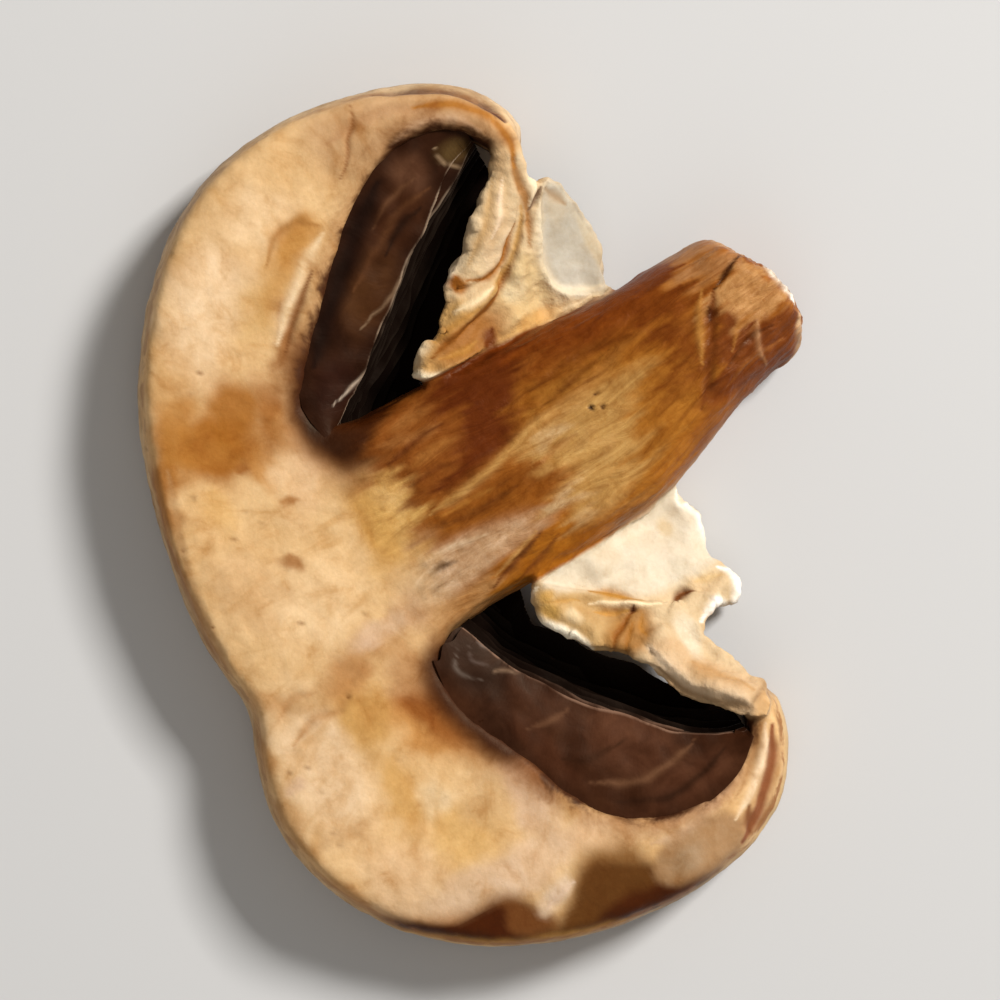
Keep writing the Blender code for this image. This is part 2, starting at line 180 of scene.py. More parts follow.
# Colours of the flesh and the gills, as linear light
CREAM = (0.69, 0.435, 0.205)
PALE = (0.62, 0.40, 0.24)
PINKISH = (0.64, 0.42, 0.27)
HONEY = (0.66, 0.37, 0.12)
TAN = (0.50, 0.28, 0.12)
BRUISE = (0.31, 0.110, 0.022)
AMBER = (0.36, 0.125, 0.014)
CARAMEL = (0.29, 0.088, 0.010)
WHITE = (0.72, 0.62, 0.46)
IVORY = (0.62, 0.45, 0.26)
CUT_SKIN, SKIN_LINE = (0.26, 0.09, 0.02), (0.60, 0.38, 0.16)
SKIN_DARK, SKIN_LIGHT, SKIN_SPECK = (0.33, 0.19, 0.09), (0.66, 0.46, 0.26), (0.16, 0.06, 0.02)
# the second of these is near black: soaked brown deepened by painted shade where the flesh meets the hollows
SOAKING, SOAKED_AND_SHADE = (0.40, 0.26, 0.16), (0.050, 0.014, 0.005)
LEFT_GILLS, RIGHT_GILLS = (0.036, 0.0105, 0.0036), (0.022, 0.006, 0.002)
LEFT_GILL_RIM, RIGHT_GILL_RIM = (0.24, 0.13, 0.080), (0.29, 0.20, 0.13)
# near-black painted shade for gills that lie deep inside the slice, or face up in its lower half
GILL_PAINTED_SHADE = (0.003, 0.001, 0.0006)

# How noise tints a finish: its level, and what the colour is multiplied by there
BLOTCHES = ((0.28, (0.74, 0.58, 0.38)), (0.44, (0.98, 0.94, 0.87)), (0.68, (1.12, 1.15, 1.18)))
RAYS = ((0.3, (0.80, 0.66, 0.46)), (0.46, (1.0, 0.99, 0.97)), (0.7, (1.10, 1.13, 1.18)))
CRUMB = ((0.28, (0.74, 0.62, 0.46)), (0.5, (1.0, 1.0, 1.0)), (0.72, (1.10, 1.14, 1.22)))
FIBRES = ((0.28, (1.34, 1.48, 1.75)), (0.47, (1.0, 1.0, 1.0)), (0.72, (0.52, 0.40, 0.28)))
HAIRS = ((0.3, (1.14, 1.22, 1.32)), (0.72, (0.80, 0.72, 0.60)))
GRIT = ((0.28, (0.84, 0.80, 0.74)), (0.72, (1.08, 1.09, 1.11)))
GILL_CLOUDS = ((0.3, (0.62, 0.55, 0.48)), (0.5, (1.0, 1.0, 1.0)), (0.7, (1.35, 1.45, 1.5)))
GILL_RAYS = ((0.3, (0.78, 0.74, 0.70)), (0.7, (1.2, 1.22, 1.25)))
GILL_GRIT = ((0.3, (0.86, 0.84, 0.82)), (0.7, (1.12, 1.13, 1.15)))

# Stains of the cap: middle, half lengths, turn in degrees, colour, strength
CAP_STAINS = (
    (-19.0, 16.5, 4.0, 3.0, 30, PALE, 0.45),
    (-9.0, 17.6, 5.6, 3.0, -8, (0.74, 0.52, 0.32), 0.75),
    (-21.0, 12.4, 1.8, 4.2, 0, (0.62, 0.42, 0.27), 0.6),
    (-13.8, 18.6, 0.5, 2.8, 4, TAN, 0.5),
    (-13.0, 13.9, 3.0, 1.7, -8, (0.56, 0.30, 0.090), 0.85),
    (-17.4, 11.2, 2.0, 2.8, 20, (0.62, 0.35, 0.11), 0.7),
    (-14.6, 12.0, 1.2, 1.6, 30, (0.72, 0.52, 0.30), 0.7),
    (-7.4, 13.4, 2.6, 1.8, -22, (0.54, 0.28, 0.075), 0.85),
    (-4.9, 15.6, 0.9, 3.0, -16, (0.50, 0.27, 0.10), 0.6),
    (-10.0, 10.6, 3.6, 1.6, 26, (0.50, 0.22, 0.052), 0.85),
    (-9.2, 9.5, 3.4, 1.7, 22, (0.29, 0.090, 0.016), 0.97),
    (-4.6, 13.2, 1.6, 1.4, 0, (0.50, 0.22, 0.065), 0.7),
    (-16.0, 9.0, 2.2, 1.6, -20, (0.60, 0.38, 0.19), 0.6),
    (-21.3, 8.6, 1.6, 5.0, 0, (0.68, 0.46, 0.29), 0.8),
    (-17.2, 6.6, 3.6, 1.4, 8, (0.62, 0.41, 0.26), 0.85),
    (-22.0, 3.4, 1.4, 2.4, 0, (0.60, 0.36, 0.19), 0.7),
    (-23.2, -2.6, 1.0, 4.4, 0, (0.60, 0.36, 0.20), 0.75),
    (-6.0, 9.6, 2.0, 1.5, 0, (0.46, 0.24, 0.10), 0.8),
    (-3.9, 12.4, 1.5, 2.6, 10, (0.42, 0.20, 0.07), 0.75),
    (-3.2, 9.6, 1.0, 2.4, 0, PINKISH, 0.7),
    (-11.8, 21.0, 3.8, 0.7, 2, (0.46, 0.24, 0.09), 0.75),
    (-5.4, 20.6, 2.6, 0.9, -12, AMBER, 0.5),
    (-3.6, 18.8, 1.5, 1.1, 0, (0.52, 0.26, 0.095), 0.6),
    (-9.4, 20.0, 0.8, 0.6, 0, PINKISH, 0.7),
    (-17.6, 20.2, 2.6, 0.5, 24, AMBER, 0.5),
    (0.6, 13.0, 3.4, 3.4, 0, (0.78, 0.53, 0.29), 0.8),
    (8.4, 9.6, 3.2, 1.8, -10, (0.74, 0.47, 0.25), 0.8),
    (3.4, 16.2, 3.2, 2.4, 0, (0.60, 0.36, 0.17), 0.65),
    (4.5, 20.1, 7.0, 0.8, -6, BRUISE, 0.65),
    (12.4, 17.4, 5.5, 1.1, -26, AMBER, 0.8),
    (10.4, 11.4, 2.0, 1.0, -10, (0.47, 0.20, 0.045), 0.8),
    (12.6, 13.6, 2.4, 3.0, -30, (0.36, 0.125, 0.014), 0.95),
    (14.4, 11.2, 2.4, 2.0, -20, (0.36, 0.125, 0.014), 0.9),
    (14.8, 15.0, 3.4, 1.4, -32, (0.42, 0.170, 0.030), 0.8),
    (12.0, 9.2, 2.0, 1.2, -10, (0.45, 0.195, 0.045), 0.85),
    (13.2, 9.2, 2.8, 1.0, -24, BRUISE, 0.8),
    (9.2, 15.4, 1.6, 1.2, 20, HONEY, 0.6),
    (10.6, 12.6, 0.7, 0.6, 0, BRUISE, 0.9),
    (3.9, 12.9, 0.7, 0.6, 0, BRUISE, 0.8),
    (7.4, 11.2, 0.5, 0.4, 0, AMBER, 0.7),
    (18.6, 12.6, 3.2, 2.4, -36, (0.48, 0.23, 0.06), 0.5),
    (22.6, 8.4, 2.0, 3.0, -30, TAN, 0.6),
    (19.6, 7.4, 2.6, 1.6, -44, (0.56, 0.31, 0.09), 0.7),
    (25.4, 5.6, 1.6, 3.6, 24, (0.60, 0.38, 0.19), 0.6),
    (20.6, 9.8, 4.6, 3.0, -40, (0.82, 0.58, 0.35), 0.85),
    (24.4, 3.4, 2.6, 2.2, -60, (0.78, 0.54, 0.31), 0.7),
    (22.3, 2.4, 0.9, 1.8, 30, (0.45, 0.19, 0.035), 0.85),
    (17.6, 5.4, 3.2, 0.8, -42, BRUISE, 0.8),
    (3.2, 6.6, 3.8, 1.6, 0, (0.63, 0.34, 0.095), 0.95),
    (-3.0, 7.6, 1.6, 1.6, 0, (0.55, 0.34, 0.19), 0.9),
)

# Stains of the stem, the same way
STEM_STAINS = (
    (3.0, 5.8, 3.4, 2.0, 0, (0.66, 0.37, 0.105), 0.95),
    (-1.9, 5.6, 1.1, 2.4, 0, (0.58, 0.38, 0.22), 0.75),
    (-1.1, -5.4, 0.8, 1.4, 8, (0.55, 0.36, 0.19), 0.7),
    (-3.0, -5.4, 0.6, 1.3, 4, (0.50, 0.29, 0.12), 0.6),
    (2.7, -6.8, 0.6, 1.4, 16, (0.53, 0.33, 0.15), 0.75),
    (1.0, -8.6, 1.4, 1.0, 0, (0.50, 0.27, 0.085), 0.5),
    (7.2, 2.2, 0.6, 1.6, 8, (0.36, 0.15, 0.04), 0.45),
    (8.3, 0.6, 0.5, 1.3, 0, (0.33, 0.13, 0.03), 0.45),
    (5.6, 1.4, 0.5, 1.8, 6, (0.38, 0.15, 0.03), 0.5),
    (5.0, -8.6, 0.5, 3.0, 10, (0.33, 0.13, 0.018), 0.5),
    (7.6, -6.8, 0.5, 1.4, 0, (0.26, 0.075, 0.010), 0.5),
    (4.6, -12.8, 1.0, 1.6, 10, (0.36, 0.15, 0.03), 0.5),
    (4.9, -15.4, 1.4, 0.9, 0, (0.33, 0.105, 0.010), 0.5),
    (7.8, -19.4, 1.2, 0.8, 0, (0.36, 0.12, 0.016), 0.6),
)

# Stains of the torn veil
VEIL_STAINS = (
    (-15.9, -7.6, 1.4, 0.5, 36, (0.48, 0.27, 0.11), 0.7),
    (-17.6, -8.7, 0.8, 0.4, 36, TAN, 0.5),
    (-13.4, -7.8, 1.6, 0.8, 0, WHITE, 0.7),
    (-7.4, -0.6, 0.9, 0.5, 0, (0.50, 0.27, 0.06), 0.85),
    (-6.2, -0.9, 0.5, 0.4, -40, (0.52, 0.27, 0.05), 0.7),
    (-8.6, -1.7, 0.7, 0.4, 30, (0.74, 0.56, 0.33), 0.7),
    (-10.8, -10.4, 0.6, 1.2, -20, (0.66, 0.46, 0.25), 0.7),
    (-6.3, -10.1, 0.7, 0.5, 0, (0.60, 0.42, 0.20), 0.55),
    (-7.8, -9.0, 1.2, 0.7, 30, (0.70, 0.56, 0.40), 0.35),
    (-5.0, -5.2, 0.7, 1.6, 0, (0.66, 0.57, 0.40), 0.4),
    # painted shade: amber round the folds of the right veil
    (11.0, -5.0, 1.3, 3.2, 10, (0.30, 0.105, 0.018), 0.85),
    (14.4, -5.7, 0.7, 0.6, 0, (0.34, 0.12, 0.015), 0.95),
    (10.3, -5.9, 0.8, 0.5, -24, (0.15, 0.035, 0.006), 0.9),
    (10.0, -9.4, 0.6, 1.9, 0, (0.60, 0.33, 0.10), 0.7),
    (12.4, -8.8, 0.9, 0.9, 0, (0.76, 0.60, 0.36), 0.7),
    (16.2, -9.6, 2.4, 0.7, -42, (0.74, 0.56, 0.37), 0.5),
    (17.4, -10.4, 3.4, 0.7, -40, (0.50, 0.31, 0.14), 0.6),
    (21.0, -12.2, 1.8, 0.9, -20, (0.46, 0.27, 0.12), 0.7),
    (11.6, -12.7, 1.6, 0.9, 0, (0.56, 0.50, 0.40), 0.7),
    (15.9, -14.2, 1.4, 0.8, -20, (0.52, 0.42, 0.29), 0.6),
    (12.6, -15.2, 2.6, 0.5, 0, (0.58, 0.46, 0.29), 0.6),
)

# Stains with an outline of their own: points, softness of their edge, colour, strength
CAP_PATCHES = (
    (((-17.0, 21.0), (-20.6, 19.0), (-23.2, 15.9), (-25.4, 12.0), (-26.6, 9.2), (-24.8, 9.6),
      (-23.0, 11.2), (-22.0, 13.6), (-21.3, 16.2), (-19.6, 18.8)), 0.8, (0.29, 0.115, 0.030), 0.9),
    (((-26.0, 12.0), (-24.8, 12.8), (-22.4, 12.4), (-22.3, 10.9), (-23.2, 9.8), (-25.0, 9.0),
      (-26.6, 9.0)), 0.7, (0.15, 0.050, 0.012), 1.0),
    (((-19.4, 19.6), (-21.2, 18.3), (-23.2, 15.9), (-25.1, 12.6), (-25.4, 11.5), (-24.3, 11.9),
      (-23.2, 11.2), (-22.5, 12.2), (-22.2, 15.0), (-21.1, 17.0)), 0.35, (0.056, 0.010, 0.001), 1.0),
    (((-26.9, 10.0), (-25.4, 8.6), (-24.0, 7.0), (-22.6, 5.4), (-22.9, 3.6), (-23.8, 2.0), (-25.6, 1.4),
      (-27.4, -0.4), (-28.6, -1.4), (-28.6, 4.0), (-27.8, 6.6)), 0.8, (0.22, 0.095, 0.026), 0.95),
    (((-26.9, 9.2), (-25.7, 8.6), (-24.7, 7.0), (-23.5, 5.8), (-23.5, 4.6), (-24.4, 3.0), (-25.2, 1.6),
      (-26.8, 1.2), (-28.3, 0.6), (-28.2, 4.0), (-27.8, 6.6)), 0.5, (0.098, 0.032, 0.005), 0.95),
    (((-27.5, 7.0), (-26.7, 6.4), (-26.2, 4.2), (-26.6, 1.8), (-27.2, -2.0), (-28.5, -2.0),
      (-28.4, 3.0)), 0.5, (0.055, 0.010, 0.001), 0.95),
    (((-24.9, 9.5), (-24.0, 9.4), (-23.2, 8.4), (-23.1, 6.7), (-23.8, 6.7), (-24.5, 8.0)), 0.4,
      (0.70, 0.50, 0.33), 0.95),
    (((-27.4, 0.6), (-26.5, 1.6), (-25.4, 1.5), (-24.6, 0.7), (-24.2, -0.8), (-24.2, -2.8),
      (-24.6, -4.4), (-26.0, -5.2), (-27.2, -4.4), (-27.9, -2.4)), 0.45, (0.36, 0.205, 0.098), 0.97),
    (((-26.8, 0.2), (-26.0, 0.6), (-25.3, -0.6), (-25.6, -1.8), (-26.8, -1.6)), 0.4, (0.36, 0.24, 0.14),
      0.6),
    # The next four: brown round the stem-side ends of the hollows, with near-black cores that are painted
    # shade of the hollows
    (((6.2, 3.6), (6.8, 6.6), (8.4, 8.2), (11.0, 8.8), (13.8, 7.9), (16.4, 5.9), (15.4, 4.2),
      (12.6, 5.8), (10.6, 5.4), (10.4, 1.0), (7.0, 1.0)), 1.5, (0.22, 0.065, 0.012), 0.95),
    (((7.0, 3.0), (7.4, 6.2), (8.9, 7.6), (11.2, 8.0), (13.6, 7.0), (15.4, 5.4), (14.4, 4.2),
      (12.6, 5.4), (10.6, 5.2), (10.4, 1.0), (8.0, 1.0)), 0.9, (0.018, 0.004, 0.001), 0.97),
    (((-5.4, 6.2), (-6.2, 8.6), (-8.8, 9.8), (-12.0, 9.2), (-15.2, 7.3), (-17.6, 5.6), (-17.4, 3.4),
      (-8.0, 5.0)), 1.6, (0.27, 0.088, 0.017), 0.85),
    (((-5.2, 5.4), (-5.7, 7.5), (-7.0, 8.9), (-9.4, 9.0), (-12.0, 8.2), (-14.8, 6.7), (-14.4, 4.4),
      (-8.0, 5.0)), 0.9, (0.052, 0.014, 0.004), 0.97),
    (((18.8, 6.2), (20.6, 5.4), (22.6, 3.9), (23.3, 2.0), (22.5, 0.6), (21.4, 1.4), (20.0, 3.4)), 1.1,
      (0.50, 0.245, 0.065), 0.85),
    (((24.6, -2.0), (28.6, -2.0), (28.6, -7.6), (26.8, -10.8), (24.0, -13.0), (21.6, -12.8),
      (22.8, -11.4), (24.2, -9.0), (24.4, -6.0)), 1.2, (0.48, 0.275, 0.130), 0.85),
)
STEM_PATCHES = (
    (((-4.4, -9.5), (-1.0, -10.5), (3.0, -11.5), (6.0, -12.5), (6.4, -15.5), (3.5, -17.5), (-0.5, -16.0),
      (-3.4, -13.0)), 1.6, (0.35, 0.125, 0.014), 0.85),
    (((-2.8, -3.4), (-0.6, -4.4), (1.2, -4.6), (2.6, -4.2), (3.6, -5.4), (4.2, -7.8), (4.6, -10.4),
      (3.6, -12.8), (1.0, -12.4), (-1.6, -11.2), (-3.2, -9.4), (-3.6, -6.0)), 1.5, (0.465, 0.245, 0.068),
      0.95),
    (((-3.6, 8.4), (-0.2, 8.4), (0.0, 3.6), (-0.4, 0.4), (-0.9, -2.6), (-1.6, -3.4), (-2.2, -1.6),
      (-2.8, 1.0), (-3.4, 3.6)), 0.8, (0.53, 0.32, 0.17), 0.95),
    (((-5.8, 7.0), (-3.6, 7.0), (-3.4, 3.0), (-3.2, 0.6), (-4.2, -0.4), (-5.6, -0.2)), 0.7,
      (0.42, 0.20, 0.065), 0.85),
    (((-4.6, 1.2), (-3.2, 0.6), (-2.2, -1.8), (-1.8, -3.2), (-2.6, -4.0), (-3.8, -4.4), (-4.2, -6.6),
      (-4.6, -9.6), (-5.6, -8.0), (-5.6, -1.0)), 0.7, (0.36, 0.115, 0.008), 0.9),
    (((0.2, 3.8), (1.8, 3.4), (2.1, 0.6), (2.2, -2.4), (1.6, -4.0), (0.8, -4.4), (-0.2, -2.8),
      (-0.4, 0.6)), 0.7, (0.22, 0.062, 0.006), 0.9),
    (((2.6, 2.8), (4.0, 4.6), (5.8, 5.6), (7.4, 7.6), (10.8, 8.0), (10.8, -1.0), (3.4, -0.6)), 1.2,
      (0.21, 0.058, 0.008), 0.9),
    (((7.2, 8.6), (10.8, 8.6), (10.8, 2.2), (9.4, 2.4), (8.2, 3.8), (7.0, 5.6)), 0.9,
      (0.040, 0.008, 0.001), 0.95),
    (((2.7, 0.6), (4.6, 0.4), (6.4, -1.4), (10.8, -0.6), (10.8, -7.4), (8.0, -7.2), (6.0, -6.0),
      (4.4, -4.8), (3.2, -2.8)), 1.0, (0.105, 0.018, 0.002), 0.95),
    (((3.8, -5.0), (5.6, -5.8), (7.4, -7.2), (7.8, -10.0), (7.4, -14.0), (6.2, -14.6), (5.2, -11.6),
      (4.6, -8.6)), 1.0, (0.25, 0.080, 0.008), 0.8),
    (((7.0, -7.4), (10.8, -7.0), (10.8, -18.6), (6.6, -18.6), (6.0, -13.6), (6.8, -10.0)), 1.2,
      (0.155, 0.029, 0.002), 0.9),
    (((1.0, -15.2), (4.0, -15.0), (7.0, -15.4), (7.6, -18.6), (5.4, -18.6), (2.6, -17.4)), 1.2,
      (0.165, 0.036, 0.003), 0.9),
    (((-0.8, -16.4), (0.6, -17.0), (2.6, -18.6), (4.6, -19.6), (4.0, -20.6), (2.8, -21.4), (2.8, -23.8),
      (-0.8, -24.0)), 0.7, (0.150, 0.034, 0.005), 0.95),
    (((2.9, -20.6), (4.6, -20.4), (6.2, -20.8), (7.0, -22.8), (5.6, -24.0), (3.2, -24.3), (3.0, -22.4)),
      0.6, (0.44, 0.21, 0.068), 0.9),
    (((6.6, -19.4), (9.8, -19.4), (9.8, -21.4), (7.4, -23.2), (6.8, -21.0)), 0.6, (0.38, 0.165, 0.055),
      0.85),
)
VEIL_PATCHES = (
    (((-20.6, -9.6), (-18.2, -7.4), (-15.6, -5.2), (-13.4, -4.8), (-12.2, -5.2), (-12.8, -6.6),
      (-15.0, -8.0), (-16.6, -9.6), (-19.4, -10.6)), 0.5, (0.60, 0.39, 0.21), 0.85),
    (((-11.2, -2.0), (-9.0, -0.6), (-7.0, 0.4), (-5.2, -0.6), (-6.0, -1.4), (-7.4, -3.0), (-8.6, -4.6),
      (-10.2, -4.6)), 0.4, (0.50, 0.30, 0.115), 0.9),
    (SMOOTH_VEIL, 0.5, (0.68, 0.58, 0.43), 0.95),
    (((-12.0, -2.9), (-10.9, -2.7), (-10.0, -3.8), (-9.6, -5.2), (-10.1, -6.3), (-11.4, -6.3),
      (-12.3, -5.4), (-12.5, -4.2)), 0.55, (0.34, 0.145, 0.028), 0.9),
    (((9.2, -1.6), (10.8, -0.4), (12.0, -2.2), (13.8, -4.2), (13.2, -6.4), (13.6, -8.6), (12.0, -9.8),
      (9.8, -9.6), (8.4, -6.0)), 0.6, (0.50, 0.27, 0.080), 0.9),
    (((10.4, -7.2), (12.4, -6.6), (13.6, -8.8), (14.6, -10.6), (13.0, -11.4), (10.6, -11.0)), 0.7,
      (0.66, 0.47, 0.23), 0.85),
    (VEIL_BLOCK, 0.6, (0.47, 0.415, 0.325), 0.95),
)

# Creases, ridges and torn edges: points, width, colour, strength, height
CAP_STROKES = (
    (((-24.4, 9.0), (-23.9, 7.6), (-23.7, 6.6)), 0.36, (0.68, 0.48, 0.33), 0.8, 0.1),
    (((-24.0, 1.0), (-24.3, -1.0), (-24.0, -3.0), (-23.4, -5.2)), 0.4, PALE, 0.5, 0.05),
    (((-27.1, -4.4), (-26.2, -6.0), (-24.8, -7.4), (-23.0, -8.9), (-21.2, -9.9)), 0.45,
      (0.24, 0.08, 0.03), 0.9, -0.2),
    (((-25.4, -4.7), (-24.6, -6.2), (-23.6, -7.5), (-22.4, -8.6), (-20.8, -9.6)), 0.3,
      (0.78, 0.57, 0.36), 0.9, 0.18),
    (((-24.2, -5.4), (-23.2, -7.0), (-22.0, -8.2), (-20.6, -9.0)), 0.26, TAN, 0.8, -0.12),
    # a painted highlight: a glint on the flesh beside the left hollow
    (((-8.3, 6.9), (-7.7, 7.1), (-7.1, 6.9)), 0.34, (0.62, 0.46, 0.33), 0.9, 0.15),
    (((24.7, -6.4), (25.0, -8.4), (24.2, -10.6), (22.6, -12.0)), 0.34, (0.66, 0.44, 0.27), 0.6, 0.12),
    (((26.6, -2.6), (27.0, -5.2), (26.4, -7.8), (25.2, -10.0)), 0.5, (0.42, 0.22, 0.10), 0.5, -0.12),
    (((16.8, 6.6), (18.0, 5.3), (19.4, 3.7), (20.8, 2.0), (21.7, 0.5)), 0.42, (0.78, 0.56, 0.33), 0.75,
      0.08),
    (((16.0, 6.4), (17.2, 5.2), (18.6, 3.7), (19.8, 2.4)), 0.3, (0.20, 0.070, 0.018), 0.7, -0.1),
    (((21.6, 4.8), (22.9, 3.5), (23.2, 1.9), (22.3, 0.4)), 0.3, (0.38, 0.17, 0.045), 0.6, -0.04),
    (((24.3, -2.4), (25.2, -3.5), (26.3, -4.0), (27.2, -5.0), (28.2, -5.3)), 0.15, (0.26, 0.10, 0.03),
      0.6, -0.1),
    (((-26.8, -5.2), (-25.9, -5.6), (-25.2, -6.0)), 0.55, (0.17, 0.050, 0.014), 0.7, -0.1),
    (((-6.9, 18.4), (-6.0, 16.4), (-6.3, 14.4), (-4.6, 12.6)), 0.34, (0.44, 0.21, 0.07), 0.5, -0.05),
    (((-5.0, 18.6), (-4.2, 17.2), (-4.6, 15.4)), 0.3, (0.46, 0.23, 0.09), 0.4, -0.05),
    (((13.0, 16.9), (8.0, 18.6), (3.0, 19.6), (-1.0, 19.8)), 0.3, TAN, 0.5, -0.05),
)
VEIL_STROKES = (
    (((-11.1, -2.2), (-10.4, -1.9), (-9.5, -1.3), (-8.2, -0.4), (-7.4, 0.1), (-6.8, 0.2), (-6.1, -0.2),
      (-5.5, -0.7)), 0.2, (0.92, 0.80, 0.60), 0.9, 0.25),
    (((-6.6, -0.6), (-7.2, -1.5), (-7.7, -2.5)), 0.2, (0.46, 0.23, 0.05), 0.6, -0.15),
    # along the fold: painted shade in the crease, and a painted highlight on the ridge beside it
    (((-7.5, -3.4), (-8.2, -4.4), (-9.0, -5.4), (-9.8, -6.3)), 0.34, (0.46, 0.21, 0.035), 0.9, -0.25),
    (((-8.3, -3.0), (-8.9, -4.2), (-9.6, -5.4), (-10.2, -6.3), (-10.6, -7.2)), 0.2, (0.86, 0.66, 0.40),
      0.9, 0.3),
    (((-8.9, -3.2), (-9.5, -4.4), (-10.0, -5.3)), 0.2, (0.50, 0.24, 0.05), 0.7, -0.2),
    (((-11.6, -3.2), (-11.0, -3.6), (-10.5, -4.5), (-10.1, -5.4)), 0.24, (0.26, 0.085, 0.012), 0.9,
      -0.3),
    (((-12.0, -4.0), (-11.3, -4.4), (-10.7, -5.1)), 0.2, (0.34, 0.13, 0.02), 0.8, -0.15),
    (((-11.9, -5.4), (-11.2, -5.4), (-10.6, -5.9)), 0.2, (0.40, 0.17, 0.03), 0.7, -0.1),
    (((-10.2, -5.3), (-9.9, -5.5)), 0.22, (0.09, 0.018, 0.003), 0.97, -0.3),
    (((-13.9, -4.8), (-13.2, -3.9), (-12.3, -3.1), (-11.5, -2.8)), 0.24, (0.80, 0.66, 0.48), 0.8, 0.15),
    (((-20.0, -9.6), (-18.4, -8.3), (-17.3, -7.2), (-16.0, -6.2), (-15.0, -5.8), (-13.8, -5.5),
      (-12.6, -5.2)), 0.4, (0.78, 0.58, 0.38), 0.7, 0.22),
    # painted shade where the ridge's upper edge turns down towards the gap
    (((-19.6, -9.4), (-18.4, -7.9), (-17.0, -6.4), (-15.6, -5.5), (-14.0, -5.1)), 0.42,
      (0.40, 0.25, 0.13), 0.8, -0.25),
    (((-18.6, -9.6), (-17.2, -8.7), (-16.0, -7.8), (-14.9, -7.0)), 0.3, (0.52, 0.30, 0.13), 0.75, -0.22),
    (((-11.05, -8.2), (-10.7, -8.9), (-10.9, -9.7)), 0.32, (0.16, 0.050, 0.012), 0.95, -0.5),
    (((-10.4, -10.0), (-10.6, -11.0), (-10.9, -11.8)), 0.3, (0.62, 0.42, 0.20), 0.7, -0.15),
    (((-13.0, -8.9), (-12.5, -9.6), (-12.2, -10.6), (-12.9, -11.5), (-11.6, -12.4), (-10.4, -11.9)),
      0.24, (0.92, 0.88, 0.80), 0.85, 0.2),
    (((-9.2, -12.0), (-8.0, -12.0), (-6.6, -12.3), (-5.4, -11.6), (-4.4, -12.0)), 0.22,
      (0.92, 0.86, 0.72), 0.8, 0.2),
    (((9.4, -4.0), (9.6, -2.4), (10.0, -1.2), (10.7, -0.7), (11.2, -1.2), (11.9, -2.3), (13.1, -3.7),
      (13.9, -4.5)), 0.22, (0.90, 0.74, 0.50), 0.9, 0.35),
    (((14.4, -4.8), (15.1, -5.8), (16.4, -7.3), (17.8, -8.8), (19.3, -10.1), (20.2, -10.9)), 0.26,
      (0.84, 0.66, 0.45), 0.85, 0.3),
    # the right veil's folds: the dark amber strokes are painted shade in the creases, the light ones painted
    # highlights on the ridges
    (((11.0, -2.0), (11.4, -3.6), (11.8, -5.2), (12.3, -6.6), (12.9, -7.9), (13.9, -9.4)), 0.27,
      (0.27, 0.092, 0.014), 0.95, -0.35),
    (((10.7, -2.4), (10.5, -3.8), (10.7, -5.0)), 0.2, (0.42, 0.19, 0.035), 0.7, -0.2),
    (((11.6, -2.6), (12.2, -4.2), (12.6, -6.0)), 0.2, (0.46, 0.22, 0.05), 0.7, -0.15),
    (((9.7, -5.4), (10.3, -5.8), (10.9, -6.4)), 0.4, (0.14, 0.032, 0.005), 0.95, -0.15),
    (((14.2, -5.4), (14.8, -5.9)), 0.4, (0.30, 0.095, 0.012), 0.95, -0.1),
    (((14.5, -6.3), (14.0, -7.6), (14.5, -9.0), (15.4, -10.0), (16.4, -10.9)), 0.25,
      (0.32, 0.115, 0.018), 0.95, -0.35),
    (((12.9, -6.8), (13.4, -8.2), (14.4, -9.8), (15.8, -11.1), (17.2, -11.9)), 0.24, (0.52, 0.29, 0.09),
      0.75, -0.25),
    (((12.9, -4.6), (13.1, -6.2), (13.4, -7.4)), 0.26, (0.84, 0.64, 0.38), 0.7, 0.2),
    (((15.2, -7.0), (16.6, -8.8), (18.2, -10.3), (19.6, -11.3)), 0.22, (0.52, 0.32, 0.14), 0.75, -0.22),
    (((16.2, -9.2), (17.6, -10.6), (19.2, -11.8)), 0.2, (0.80, 0.60, 0.40), 0.7, 0.2),
    (((14.6, -11.2), (16.0, -11.9), (17.6, -12.4), (19.2, -12.8), (20.6, -13.1)), 0.3,
      (0.36, 0.17, 0.055), 0.9, -0.3),
    (((10.0, -14.3), (10.4, -12.9), (11.0, -11.7), (12.4, -11.2), (14.0, -11.7), (15.6, -12.6),
      (16.8, -13.2)), 0.36, (0.74, 0.62, 0.43), 0.5, 0.1),
    (((15.8, -14.8), (16.6, -14.4), (17.4, -14.0)), 0.36, (0.36, 0.22, 0.11), 0.55, -0.12),
)
